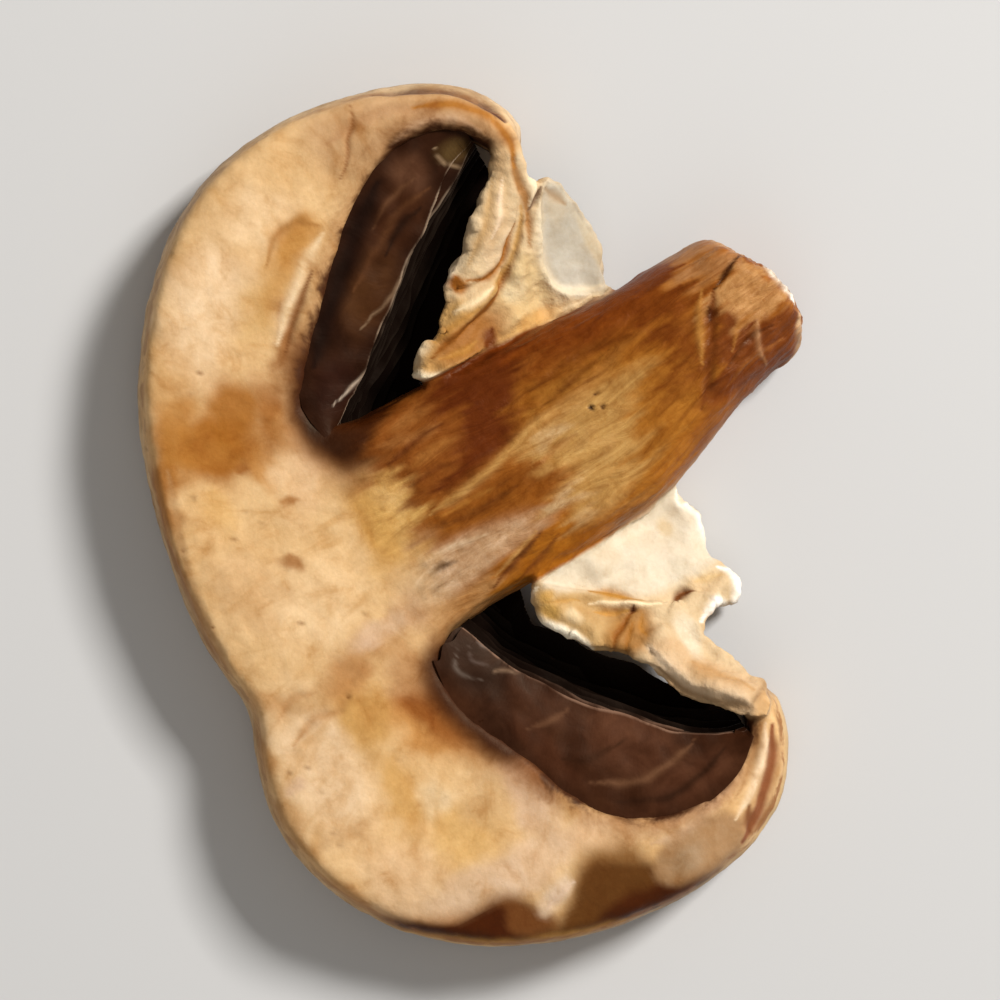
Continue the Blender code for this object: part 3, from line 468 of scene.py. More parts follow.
STEM_STROKES = (
    (((-1.6, 5.9), (-1.4, 4.6), (-1.5, 3.2)), 0.26, (0.15, 0.08, 0.04), 0.75, -0.12),
    (((-2.6, 6.2), (-2.4, 4.8)), 0.18, (0.26, 0.14, 0.07), 0.6, -0.08),
    (((-0.8, 6.6), (-0.5, 3.6), (-0.9, 0.6)), 0.2, (0.66, 0.46, 0.28), 0.5, 0.05),
    (((-4.2, 2.0), (-3.4, -0.2), (-2.4, -2.6)), 0.2, (0.17, 0.050, 0.010), 0.8, -0.14),
    (((-4.6, 0.4), (-4.0, -1.6), (-3.2, -3.6)), 0.2, (0.20, 0.055, 0.008), 0.7, -0.12),
    (((-3.6, 1.4), (-2.8, -0.8), (-2.2, -2.4)), 0.16, (0.52, 0.28, 0.09), 0.6, 0.08),
    (((2.1, 3.2), (2.3, 0.6), (2.8, -2.0), (3.6, -4.8), (4.2, -7.6)), 0.3, (0.45, 0.225, 0.06), 0.75,
      0.05),
    (((0.9, 3.0), (0.8, 0.4), (0.9, -2.8)), 0.22, (0.15, 0.040, 0.005), 0.6, -0.08),
    (((1.5, 2.6), (1.6, 0.4), (1.5, -1.6)), 0.16, (0.34, 0.13, 0.02), 0.5, 0.04),
    (((1.6, -5.0), (1.9, -6.6), (1.9, -7.8)), 0.3, (0.33, 0.14, 0.035), 0.6, -0.1),
    (((-4.9, -6.0), (-4.4, -8.6), (-3.9, -10.4)), 0.3, (0.20, 0.065, 0.010), 0.6, -0.05),
    (((6.2, 4.0), (6.8, 1.6), (6.9, -0.4)), 0.24, (0.11, 0.024, 0.004), 0.6, -0.08),
    (((4.3, 3.6), (4.5, 1.6), (4.3, 0.0)), 0.24, (0.13, 0.030, 0.004), 0.6, -0.08),
    (((5.9, -6.4), (6.4, -9.6), (6.5, -12.8)), 0.26, (0.14, 0.035, 0.003), 0.6, -0.06),
    (((4.6, -6.6), (5.3, -9.8), (5.8, -12.4)), 0.2, (0.16, 0.045, 0.004), 0.6, -0.05),
    (((3.0, -9.3), (3.1, -9.6)), 0.2, (0.03, 0.008, 0.002), 0.97, -0.25),
    (((2.6, -10.2), (2.9, -10.2)), 0.15, (0.06, 0.015, 0.003), 0.9, -0.2),
    (((3.6, -10.1), (3.8, -10.1)), 0.13, (0.08, 0.02, 0.004), 0.8, -0.15),
    (FOOT_CREASE[:6], 0.34, (0.15, 0.036, 0.005), 0.75, -0.22),
    (FOOT_CREASE[5:], 0.18, (0.05, 0.012, 0.002), 0.95, -0.4),
    (((4.2, -19.0), (5.0, -19.4)), 0.3, (0.06, 0.012, 0.002), 0.9, -0.15),
    (((2.0, -17.4), (3.4, -17.9), (5.0, -18.6), (6.4, -19.5)), 0.26, (0.46, 0.20, 0.04), 0.6, 0.12),
    (((0.0, -18.0), (0.8, -20.0), (0.8, -22.8)), 0.16, (0.30, 0.10, 0.02), 0.5, 0.08),
    (((1.0, -18.6), (1.9, -20.4), (2.0, -22.6)), 0.16, (0.08, 0.018, 0.003), 0.7, -0.12),
    (((1.9, -19.4), (3.0, -20.6), (3.4, -22.2)), 0.16, (0.38, 0.15, 0.03), 0.6, 0.08),
    (((0.0, -21.1), (1.4, -21.2), (2.9, -21.9)), 0.22, (0.42, 0.21, 0.09), 0.45, 0.12),
    (((2.6, -24.7), (4.0, -24.6), (5.6, -24.1)), 0.26, (0.92, 0.84, 0.70), 0.95, 0.1),
    (((-0.5, -22.6), (-0.3, -23.6), (0.8, -24.3), (2.0, -24.7)), 0.3, (0.60, 0.38, 0.20), 0.8, 0.1),
    (((6.6, -23.4), (8.0, -22.7), (9.3, -21.6)), 0.24, (0.60, 0.38, 0.20), 0.6, 0.05),
)

# The same for what runs over from the cap to the veil, and for the gills' upper side
LIP_STROKES = (
    (((19.4, -12.9), (21.4, -13.4), (23.1, -13.0), (24.4, -11.9), (25.4, -10.4), (26.1, -8.8)), 0.3,
      (0.42, 0.165, 0.028), 0.9, -0.1),
    (((28.3, -6.8), (27.5, -9.0), (26.5, -10.8), (25.3, -12.2), (24.0, -13.2), (22.4, -13.8)), 0.34,
      (0.070, 0.012, 0.002), 1.0, -0.4),
    (((16.9, -12.4), (18.2, -13.3), (19.8, -13.9), (21.6, -14.3), (23.2, -14.2), (24.7, -13.4)), 0.3,
      (0.84, 0.68, 0.46), 0.9, 0.12),
    (((16.7, -12.2), (17.1, -13.0), (17.7, -13.8)), 0.24, (0.16, 0.09, 0.05), 0.9, -0.45),
    (((-27.4, -6.0), (-25.6, -8.5), (-23.2, -10.3), (-20.6, -11.0)), 0.36, IVORY, 0.9, 0.1),
    (((-17.0, 20.9), (-20.6, 18.9), (-23.1, 15.9), (-25.1, 12.6), (-26.4, 9.6), (-27.5, 6.0),
      (-28.0, 4.0)), 0.26, (0.44, 0.21, 0.045), 0.9, 0.1),
)
GILL_STAINS = (
    # painted shade: the dark hollow where the left gills meet the stem
    (-7.6, 5.7, 3.6, 1.9, 20, (0.021, 0.008, 0.004), 0.95),
    # painted highlight: a pinkish sheen on the left gills
    (-17.5, -1.0, 3.4, 2.2, 40, (0.088, 0.030, 0.013), 0.7),
    (-21.6, -3.4, 1.3, 3.4, 0, (0.085, 0.028, 0.012), 0.6),
    (-12.6, 2.6, 2.6, 1.2, 26, (0.048, 0.016, 0.007), 0.6),
    (-13.0, 5.4, 3.0, 1.2, 20, (0.036, 0.012, 0.005), 0.7),
    (-15.0, 4.2, 3.4, 0.9, 16, (0.055, 0.016, 0.006), 0.7),
    (17.0, -0.6, 3.4, 1.6, -50, (0.058, 0.019, 0.005), 0.8),
    (20.4, -4.6, 3.0, 1.5, -56, (0.050, 0.014, 0.004), 0.7),
    (12.6, 4.6, 2.0, 1.6, -40, (0.018, 0.004, 0.002), 0.8),
    (22.4, -6.6, 1.4, 1.6, -60, (0.085, 0.032, 0.014), 0.8),
    (22.3, -9.9, 0.8, 1.3, -15, (0.075, 0.040, 0.012), 0.85),
)
GILL_STROKES = (
    # a painted highlight along the free edge
    (((-12.4, -0.5), (-11.0, 0.5), (-9.6, 1.4)), 0.2, (0.30, 0.17, 0.12), 0.7, 0.0),
    # painted highlights: glints on the dark gills by the stem
    (((-9.2, 5.6), (-8.4, 6.5), (-7.4, 6.7), (-6.6, 6.0)), 0.13, (0.10, 0.070, 0.052), 0.5, 0.0),
    (((-8.8, 4.6), (-7.8, 5.4), (-6.8, 5.2)), 0.12, (0.085, 0.055, 0.042), 0.5, 0.0),
    (((-10.2, 3.2), (-9.6, 3.7), (-9.2, 4.4), (-9.3, 5.0)), 0.14, (0.20, 0.12, 0.07), 0.6, 0.0),
    (((-8.0, 3.7), (-7.2, 4.4), (-6.4, 4.4)), 0.12, (0.20, 0.15, 0.12), 0.5, 0.0),
    (((11.6, 5.4), (12.0, 3.4), (12.9, 1.2), (14.0, -0.3)), 0.11, (0.44, 0.34, 0.25), 0.7, 0.0),
    (((15.1, 1.3), (15.8, -1.2), (16.8, -3.0), (17.8, -4.3)), 0.11, (0.20, 0.12, 0.065), 0.6, 0.0),
    (((21.0, -10.7), (21.3, -9.5), (22.1, -8.8), (23.2, -8.9)), 0.12, (0.24, 0.15, 0.08), 0.75, 0.0),
    (((10.9, 4.6), (11.0, 2.4), (12.0, 0.7)), 0.1, (0.36, 0.28, 0.21), 0.6, 0.0),
    # painted shade along the wall of the right hollow
    (((14.4, 5.2), (16.4, 3.2), (18.6, 0.9), (20.8, -1.6), (22.9, -4.4)), 0.7, (0.008, 0.002, 0.001),
      0.8, 0.0),
    # along the folds: painted shade in the creases and painted highlights on the ridges
    (((18.6, -2.4), (19.6, -4.2), (20.0, -6.2)), 0.3, (0.012, 0.003, 0.001), 0.7, 0.0),
    (((17.4, 0.6), (18.9, -1.8), (20.6, -5.0), (20.9, -7.4)), 0.24, (0.085, 0.030, 0.010), 0.6, 0.0),
    (((20.4, -2.6), (21.6, -4.8), (22.0, -6.8)), 0.2, (0.10, 0.040, 0.016), 0.6, 0.0),
    # painted shade along the wall of the left hollow
    (((-20.4, 1.6), (-21.6, -0.8), (-21.7, -3.6), (-20.8, -6.4)), 0.3, (0.026, 0.008, 0.003), 0.7, 0.0),
    (((-18.6, 2.6), (-19.8, 0.2), (-20.1, -2.4), (-19.4, -5.0)), 0.24, (0.12, 0.050, 0.022), 0.6, 0.0),
    (((-16.2, 3.4), (-17.2, 1.4), (-17.2, -0.8)), 0.24, (0.030, 0.009, 0.003), 0.6, 0.0),
    (((-13.4, 4.4), (-13.8, 2.8), (-13.4, 1.2)), 0.2, (0.11, 0.045, 0.020), 0.5, 0.0),
)


def on_slice(points):
    """Millimetre points of the outlines as an array."""
    return np.array(points, float)


def ramp(low, high, value):
    """0 at low, 1 at high, and smooth between them."""
    t = np.clip((np.asarray(value, float) - low) / (high - low), 0, 1)
    return t * t * (3 - 2 * t)


def curve_through(points, step, closed=False):
    """A smooth curve through the points, as an array of points about step apart."""
    p = on_slice(points)
    count = len(p)
    made = []
    for i in range(count if closed else count - 1):
        before = p[i - 1] if closed or i else 2 * p[0] - p[1]
        a, b = p[i], p[(i + 1) % count]
        after = p[(i + 2) % count] if closed or i + 2 < count else 2 * p[-1] - p[-2]
        for t in np.arange(0, 1, 1 / max(1, round(np.hypot(*(b - a)) / step))):
            bend = 2 * before - 5 * a + 4 * b - after
            twist = -before + 3 * a - 3 * b + after
            made.append(a + 0.5 * t * ((b - before) + t * (bend + t * twist)))
    if not closed:
        made.append(p[-1])
    return np.array(made)


def beside(line, distance):
    """The line moved to its left by a distance."""
    along = np.gradient(line, axis=0)
    along /= np.linalg.norm(along, axis=1)[:, None]
    return line + distance * np.column_stack((-along[:, 1], along[:, 0]))


def resampled(line, count):
    """The line as count points, evenly spaced."""
    run = np.concatenate(([0], np.cumsum(np.linalg.norm(np.diff(line, axis=0), axis=1))))
    at = np.linspace(0, run[-1], count)
    return np.column_stack((np.interp(at, run, line[:, 0]), np.interp(at, run, line[:, 1])))


def nearest_on(line, xy):
    """For each point its distance to a line, the side it lies on, and how far along the line that is."""
    distance, side, reached = np.full(len(xy), 1e9), np.ones(len(xy)), np.zeros(len(xy))
    run = 0.0
    for a, b in zip(line, line[1:]):
        along = b - a
        length = np.hypot(*along)
        if length < 1e-6:
            continue
        t = np.clip(((xy - a) @ along) / length**2, 0, 1)
        gap = xy - a - t[:, None] * along
        away = np.hypot(gap[:, 0], gap[:, 1])
        closer = away < distance
        distance[closer] = away[closer]
        side[closer] = np.sign(along[0] * gap[closer, 1] - along[1] * gap[closer, 0])
        reached[closer] = run + t[closer] * length
        run += length
    return distance, side, reached, run


def away_from(line, xy):
    """Distance of each point to a line."""
    return nearest_on(line, xy)[0]


def lapped(height, xy, laps, where):
    """Raises what lies on the left of each line, steeply at the line and fading away from it."""
    for line, reach, rise in laps:
        line = curve_through(line, 0.35)
        near = np.all((xy > line.min(0) - 2 * reach) & (xy < line.max(0) + 2 * reach), axis=1)
        distance, side, _, _ = nearest_on(line, xy[near])
        fade = np.exp(-((distance / reach) ** 2))
        height[near] += rise * where[near] * fade * (ramp(-0.16, 0.16, distance * side) - 0.35)


def depth_in(outline, xy):
    """Distance of each point to a closed outline, negative outside it."""
    loop = np.vstack((outline, outline[:1]))
    inside = np.zeros(len(xy), bool)
    for (x0, y0), (x1, y1) in zip(loop, loop[1:]):
        if y0 != y1:
            crosses = (xy[:, 1] >= min(y0, y1)) & (xy[:, 1] < max(y0, y1))
            inside ^= crosses & (xy[:, 0] < x0 + (xy[:, 1] - y0) / (y1 - y0) * (x1 - x0))
    return away_from(loop, xy) * np.where(inside, 1, -1)


def mottle(points, size, seed, octaves=1):
    """Smooth noise between about -1 and 1, its patches about size across, at 3-D points."""
    total, loud = np.zeros(len(points)), 1.0
    for k in range(octaves):
        scaled = points * (2**k / size) + 17.3 * seed
        total += loud * np.array([noise.noise(Vector(q)) for q in scaled])
        loud *= 0.5
    return total


def stem_across(xy):
    """-1 on the stem's left side, 0 on its middle and 1 on its right side."""
    stations = on_slice(STEM_STATIONS)[::-1]
    left = np.interp(xy[:, 1], stations[:, 0], stations[:, 1])
    right = np.interp(xy[:, 1], stations[:, 0], stations[:, 2])
    return (2 * xy[:, 0] - left - right) / (right - left)


def stained(colour, xy, stains):
    """The colour of each point once the stains have been laid over it in turn."""
    for x, y, long, wide, turn, stain, strength in stains:
        angle = math.radians(turn)
        away = xy - (x, y)
        u = (away[:, 0] * math.cos(angle) + away[:, 1] * math.sin(angle)) / long
        v = (-away[:, 0] * math.sin(angle) + away[:, 1] * math.cos(angle)) / wide
        cover = strength * ramp(1.35, 0.45, np.hypot(u, v))
        colour += cover[:, None] * (np.array(stain) - colour)
    return colour


def patched(colour, xy, patches):
    """Lays each outlined stain over the colour of the points."""
    for outline, softness, tint, strength in patches:
        outline = curve_through(outline, 0.6, closed=True)
        near = np.all((xy > outline.min(0) - softness) & (xy < outline.max(0) + softness), axis=1)
        cover = strength * ramp(-softness, softness, depth_in(outline, xy[near]))
        colour[near] += cover[:, None] * (np.array(tint) - colour[near])


def stroked(colour, height, xy, strokes, where):
    """Draws each stroke, thin at its ends, over the points' colour, and raises or sinks them along it."""
    for line, width, tint, strength, rise in strokes:
        line = curve_through(line, 0.35)
        near = np.all((xy > line.min(0) - 3 * width) & (xy < line.max(0) + 3 * width), axis=1)
        distance, _, reached, length = nearest_on(line, xy[near])
        taper = 0.3 + 0.7 * ramp(0, min(1.8, 0.4 * length), np.minimum(reached, length - reached))
        cover = np.exp(-((distance / (width * taper)) ** 2)) * where[near]
        height[near] += rise * cover * taper
        colour[near] += np.minimum(1, 1.3 * cover * strength)[:, None] * (np.array(tint) - colour[near])


class Value:
    """A number that a material works out, and the maths on it."""

    def __init__(self, finish, socket):
        self.finish, self.socket = finish, socket

    def maths(self, operation, *others):
        values = dict(enumerate((self, *others)))
        return self.finish.node("ShaderNodeMath", {"operation": operation}, values)

    def __add__(self, other):
        return self.maths("ADD", other)

    __radd__ = __add__

    def __mul__(self, other):
        return self.maths("MULTIPLY", other)

    __rmul__ = __mul__

    def __sub__(self, other):
        return self.maths("SUBTRACT", other)

    def __rsub__(self, other):
        return self.finish.node("ShaderNodeMath", {"operation": "SUBTRACT"}, {0: other, 1: self})

    def step(self, low, high):
        """0 at low, 1 at high, and smooth between them."""
        values = {"Value": self, "From Min": low, "From Max": high}
        return self.finish.node("ShaderNodeMapRange", {"interpolation_type": "SMOOTHSTEP"}, values)


class Finish:
    """A material, and the nodes that work out its values."""

    def __init__(self, name):
        self.material = bpy.data.materials.new(name)
        self.material.use_nodes = True
        self.nodes = self.material.node_tree.nodes
        self.links = self.material.node_tree.links
        self.shader = self.nodes["Principled BSDF"]

    def feed(self, socket, value):
        """Links a worked-out value to a socket, or sets the socket to a constant."""
        if isinstance(value, Value):
            self.links.new(value.socket, socket)
        elif isinstance(value, tuple) and len(value) == 3 and socket.type == "RGBA":
            socket.default_value = (*value, 1.0)
        else:
            socket.default_value = value

    def node(self, kind, settings=None, values=None, output=0):
        """Adds a node, gives it its settings and then its values, and hands back one of its outputs."""
        made = self.nodes.new(kind)
        for name, setting in (settings or {}).items():
            if name == "stops":
                ramp_of = made.color_ramp
                while len(ramp_of.elements) < len(setting):
                    ramp_of.elements.new(0.5)
                for stop, (position, colour) in zip(ramp_of.elements, setting):
                    stop.position = position
                    stop.color = (*colour, 1.0)
            else:
                setattr(made, name, setting)
        by_identifier = {s.identifier: s for s in made.inputs}
        for name, value in (values or {}).items():
            socket = None if isinstance(name, int) else by_identifier.get(name)
            self.feed(socket or made.inputs[name], value)
        outputs = {s.identifier: s for s in made.outputs}
        return Value(self, outputs[output] if isinstance(output, str) else made.outputs[output])

    def mix(self, a, b, factor, blend="MIX"):
        """Colour a turned towards colour b by a factor."""
        values = {"Factor_Float": factor, "A_Color": a, "B_Color": b}
        return self.node("ShaderNodeMix", {"data_type": "RGBA", "blend_type": blend}, values, "Result_Color")

    def mark(self, name):
        """A number that the mesh carries."""
        return self.node("ShaderNodeAttribute", {"attribute_name": name}, output="Fac")

    def painted(self, name):
        """A colour or a vector that the mesh carries."""
        return self.node("ShaderNodeAttribute", {"attribute_name": name}, output="Color")

    def place(self):
        return self.node("ShaderNodeTexCoord", output="Object")

    def specks(self, where, size, detail=2.0, rough=0.55, bend=0.0):
        """Noise between 0 and 1, its patches about size millimetres across."""
        values = {"Vector": where, "Scale": 1 / (size * MM), "Detail": detail, "Roughness": rough}
        values["Distortion"] = bend
        return self.node("ShaderNodeTexNoise", values=values, output="Fac")

    def tinted(self, colour, level, stops, amount):
        """The colour multiplied, by an amount, by what the stops make of a level."""
        tint = self.node("ShaderNodeValToRGB", {"stops": stops}, {"Fac": level}, "Color")
        return self.mix(colour, tint, amount, "MULTIPLY")

    def bump(self, height, depth_mm, strength=1.0):
        """A normal that leans as a height in millimetres would make it."""
        values = {"Height": height, "Distance": depth_mm * MM, "Strength": strength}
        return self.node("ShaderNodeBump", values=values)

    def surface(self, **values):
        """Sets the shader's own sockets."""
        for name, value in values.items():
            self.feed(self.shader.inputs[name.replace("_", " ").title().replace("Ior", "IOR")], value)


def carry(mesh, name, values):
    """Gives the mesh a number or a colour at every corner."""
    kind = {1: "FLOAT", 2: "FLOAT_COLOR"}[values.ndim]
    if kind == "FLOAT_COLOR":
        values = np.column_stack((values, np.ones(len(values))))
    field = mesh.attributes.new(name, kind, "POINT")
    field.data.foreach_set("value" if kind == "FLOAT" else "color", values.astype(np.float32).ravel())


def corners_of(mesh):
    """Where the mesh's corners are, and their normals."""
    points, normals = np.empty(len(mesh.vertices) * 3), np.empty(len(mesh.vertices) * 3)
    mesh.vertices.foreach_get("co", points)
    mesh.vertex_normals.foreach_get("vector", normals)
    return points.reshape(-1, 3), normals.reshape(-1, 3)


def show(name, mesh, finish):
    """Puts a mesh in the scene as a smooth piece with a finish."""
    made = bpy.data.objects.new(name, mesh)
    bpy.context.scene.collection.objects.link(made)
    mesh.materials.clear()
    mesh.materials.append(finish.material)
    mesh.polygons.foreach_set("use_smooth", [True] * len(mesh.polygons))
    return made


def relax(bm, factor):
    """Evens a mesh out a little."""
    axes = {"use_axis_x": True, "use_axis_y": True, "use_axis_z": True}
    bmesh.ops.smooth_vert(bm, verts=bm.verts, factor=factor, **axes)


def flesh_form():
    """An even mesh of the solid flesh with its facets smoothed away, and finer where there is fine relief."""
    bm = bmesh.new()
    bm.from_mesh(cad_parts["cap_and_stem"].data)
    bmesh.ops.remove_doubles(bm, verts=bm.verts, dist=0.00001)
    rough = bpy.data.meshes.new("flesh_rough")
    bm.to_mesh(rough)
    bm.free()
    draft = bpy.data.objects.new("flesh_draft", rough)
    bpy.context.scene.collection.objects.link(draft)
    even = draft.modifiers.new("even", "REMESH")
    even.mode = "VOXEL"
    even.voxel_size = FLESH_GRAIN * MM
    fine = bpy.data.meshes.new_from_object(draft.evaluated_get(bpy.context.evaluated_depsgraph_get()))
    bpy.data.objects.remove(draft)
    bm = bmesh.new()
    bm.from_mesh(fine)
    for _ in range(3):
        relax(bm, 0.5)
    bm.normal_update()
    xy = np.array([v.co.xy for v in bm.verts]) / MM + MIDDLE
    carved = np.zeros(len(xy), bool)
    for line, width, *_ in CAP_STROKES + VEIL_STROKES + STEM_STROKES:
        carved |= away_from(on_slice(line), xy) < 1.6 * width + 0.2
    for veil in (LEFT_VEIL_EDGE + LEFT_VEIL_HEM, RIGHT_VEIL_EDGE + RIGHT_VEIL_HEM):
        carved |= depth_in(on_slice(veil), xy) > -0.7
    carved &= np.array([v.normal.z > -0.2 for v in bm.verts])
    edges = [e for e in bm.edges if carved[e.verts[0].index] and carved[e.verts[1].index]]
    bmesh.ops.subdivide_edges(bm, edges=edges, cuts=1, use_grid_fill=True)
    relax(bm, 0.3)
    bm.to_mesh(fine)
    bm.free()
    fine.name = "flesh"
    return fine


def flesh_piece(finish):
    """The cap, the stem and the torn veil: carved in low relief, and marked with what stains them where."""
    mesh = flesh_form()
    points, normals = corners_of(mesh)
    mm = points / MM
    xy = mm[:, :2] + MIDDLE
    up = normals[:, 2]
    crown = curve_through(CROWN, 0.8)
    pockets = [curve_through(LEFT_POCKET, 0.8), curve_through(RIGHT_POCKET, 0.8)]
    veils = [curve_through((*LEFT_VEIL_EDGE, *LEFT_VEIL_HEM), 0.6, closed=True)]
    veils.append(curve_through((*RIGHT_VEIL_EDGE, *RIGHT_VEIL_HEM), 0.6, closed=True))

    # What is where
    swirl = np.column_stack((mottle(mm, 2.6, 1, 3), mottle(mm, 2.6, 2, 3)))
    bent = xy + 0.9 * swirl
    near = xy + 0.16 * swirl
    from_skin = away_from(crown, xy)
    from_pocket = np.minimum(*(away_from(pocket, xy) for pocket in pockets))
    across = stem_across(xy)
    grain = np.column_stack((across * 7.2, xy[:, 1], mm[:, 2]))
    stem_top = bent[:, 1] + 1.1 * mottle(grain * (1, 0.2, 1), 1.6, 10, 2)
    on_stem = ramp(1.06, 0.99, np.abs(across)) * ramp(8.6, 3.2, stem_top)
    in_flesh = depth_in(curve_through((*CROWN, *LEFT_POCKET, *STEM, *RIGHT_POCKET), 1.0, closed=True), xy)
    on_veil = np.maximum.reduce([ramp(-0.5, 0.2, depth_in(veil, xy)) for veil in veils])
    by_lobe = (from_skin < 4.5) & (np.abs(xy[:, 0] - AXIS_X) > 15)
    on_veil *= np.where(by_lobe, ramp(0.9, -0.1, in_flesh), ramp(0.15, -0.15, in_flesh))
    on_cap = (1 - on_stem) * (1 - on_veil)
    skin = ramp(1.6, 0.9, from_skin) * ramp(0.36, 0.12, np.abs(up)) * ramp(0.6, 0.2, on_veil)
    on_foot = on_stem * ramp(0.0, 0.8, foot_depth(xy))
    face = ramp(-0.1, 0.3, up)
    in_block, in_smooth = (
        depth_in(curve_through(part, 0.5, closed=True), near) for part in (VEIL_BLOCK, SMOOTH_VEIL)
    )
    block = ramp(-0.1, 0.35, in_block) * on_veil
    smooth = np.maximum(block, 0.75 * on_veil * ramp(-0.2, 0.8, in_smooth))
    streaks = np.column_stack((
        0.55 * mottle(grain * (1, 0.14, 1), 2.0, 12, 2),
        2.6 * mottle(grain * (1, 0.12, 1), 0.9, 13, 3),
    ))
    spread = xy - (AXIS_X, -4.0)
    fan = np.column_stack((np.arctan2(spread[:, 0], spread[:, 1]) * 16, np.hypot(*spread.T) * 0.34, mm[:, 2]))
    lying = ramp(-0.3, -0.8, up)

    # Colour and the relief that goes with it
    height = np.zeros(len(xy))
    cap = stained(np.tile(CREAM, (len(xy), 1)), bent, CAP_STAINS)
    patched(cap, xy + 0.22 * swirl, CAP_PATCHES)
    stem = np.tile(CARAMEL, (len(xy), 1))
    patched(stem, xy + streaks, STEM_PATCHES)
    stained(stem, xy + streaks, STEM_STAINS)
    veil = np.tile(IVORY, (len(xy), 1))
    patched(veil, xy + 0.3 * swirl, VEIL_PATCHES)
    stained(veil, xy + 0.3 * swirl, VEIL_STAINS)
    stroked(cap, height, near, CAP_STROKES, on_cap * face)
    stroked(stem, height, near, STEM_STROKES, on_stem * ramp(-0.05, 0.35, up))
    stroked(veil, height, near, VEIL_STROKES, on_veil)
    lapped(height, near, LAPS, on_veil)
    for line, width, rise in VEIL_FORMS:
        height += rise * on_veil * np.exp(-((away_from(curve_through(line, 0.5), xy) / width) ** 2))
    colour = cap + on_stem[:, None] * (stem - cap)
    colour += on_veil[:, None] * (veil - colour)
    stroked(colour, height, near, LIP_STROKES, (1 - on_stem) * face)

    # Unevenness, the stem's fibres, the veil's crumpling and a few pits
    chance = np.random.default_rng(PIT_SEED)
    pits = chance.uniform((-24, 7, 0.07, 0.5), (27, 20, 0.16, 0.95), (PITS, 4))
    fibre = mottle(grain * (1, 0.09, 0.5), 1.1, 5, 3)
    height += 0.09 * mottle(mm, 3.2, 3, 2) + 0.05 * mottle(mm, 0.9, 4, 2)
    height += on_stem * (0.14 * fibre + 0.05 * mottle(grain * (1, 0.2, 0.6), 0.5, 6, 2))
    height += on_foot * 0.12 * mottle(grain * (1, 0.4, 1), 0.7, 8, 2)
    creased = 0.5 - np.abs(mottle(mm * (1, 1, 0.5), 2.2, 7, 3))
    creased += 0.35 * (0.5 - np.abs(mottle(mm, 0.8, 11, 2)))
    height += on_veil * (1 - smooth) * 0.24 * creased - 0.12 * block
    height += on_veil * ramp(0.75, 0.3, np.abs(up)) * (0.4 * mottle(mm, 1.3, 9, 2) + 0.1)
    for x, y, size, depth in pits:
        pit = np.exp(-((np.hypot(xy[:, 0] - x, xy[:, 1] - y) / size) ** 2)) * on_cap
        height -= 0.6 * size * pit
        colour += (depth * pit)[:, None] * (np.array(BRUISE) * 0.6 - colour)
    height *= 1 - lying
    moved = mm + height[:, None] * normals
    box = np.array(CAD_BOX) / MM
    mesh.vertices.foreach_set("co", (np.clip(moved, box[0] + 0.01, box[1] - 0.01) * MM).ravel())
    mesh.update()

    carry(mesh, "ground", colour)
    carry(mesh, "grain", grain * MM)
    carry(mesh, "fan", fan * MM)
    marks = {"stem": on_stem, "veil": on_veil, "skin": skin, "smooth": smooth}
    for name, values in {**marks, "from_skin": from_skin, "from_pocket": from_pocket}.items():
        carry(mesh, name, values)
    return show("mushroom_flesh", mesh, finish)


def foot_depth(xy):
    """How far a point lies beyond the line where the foot was cut off."""
    line = curve_through(FOOT_CREASE, 0.5)
    hinge_y = np.interp(xy[:, 0], line[:, 0], line[:, 1])
    return np.where(xy[:, 0] < 7.2, hinge_y - xy[:, 1], -1.0)


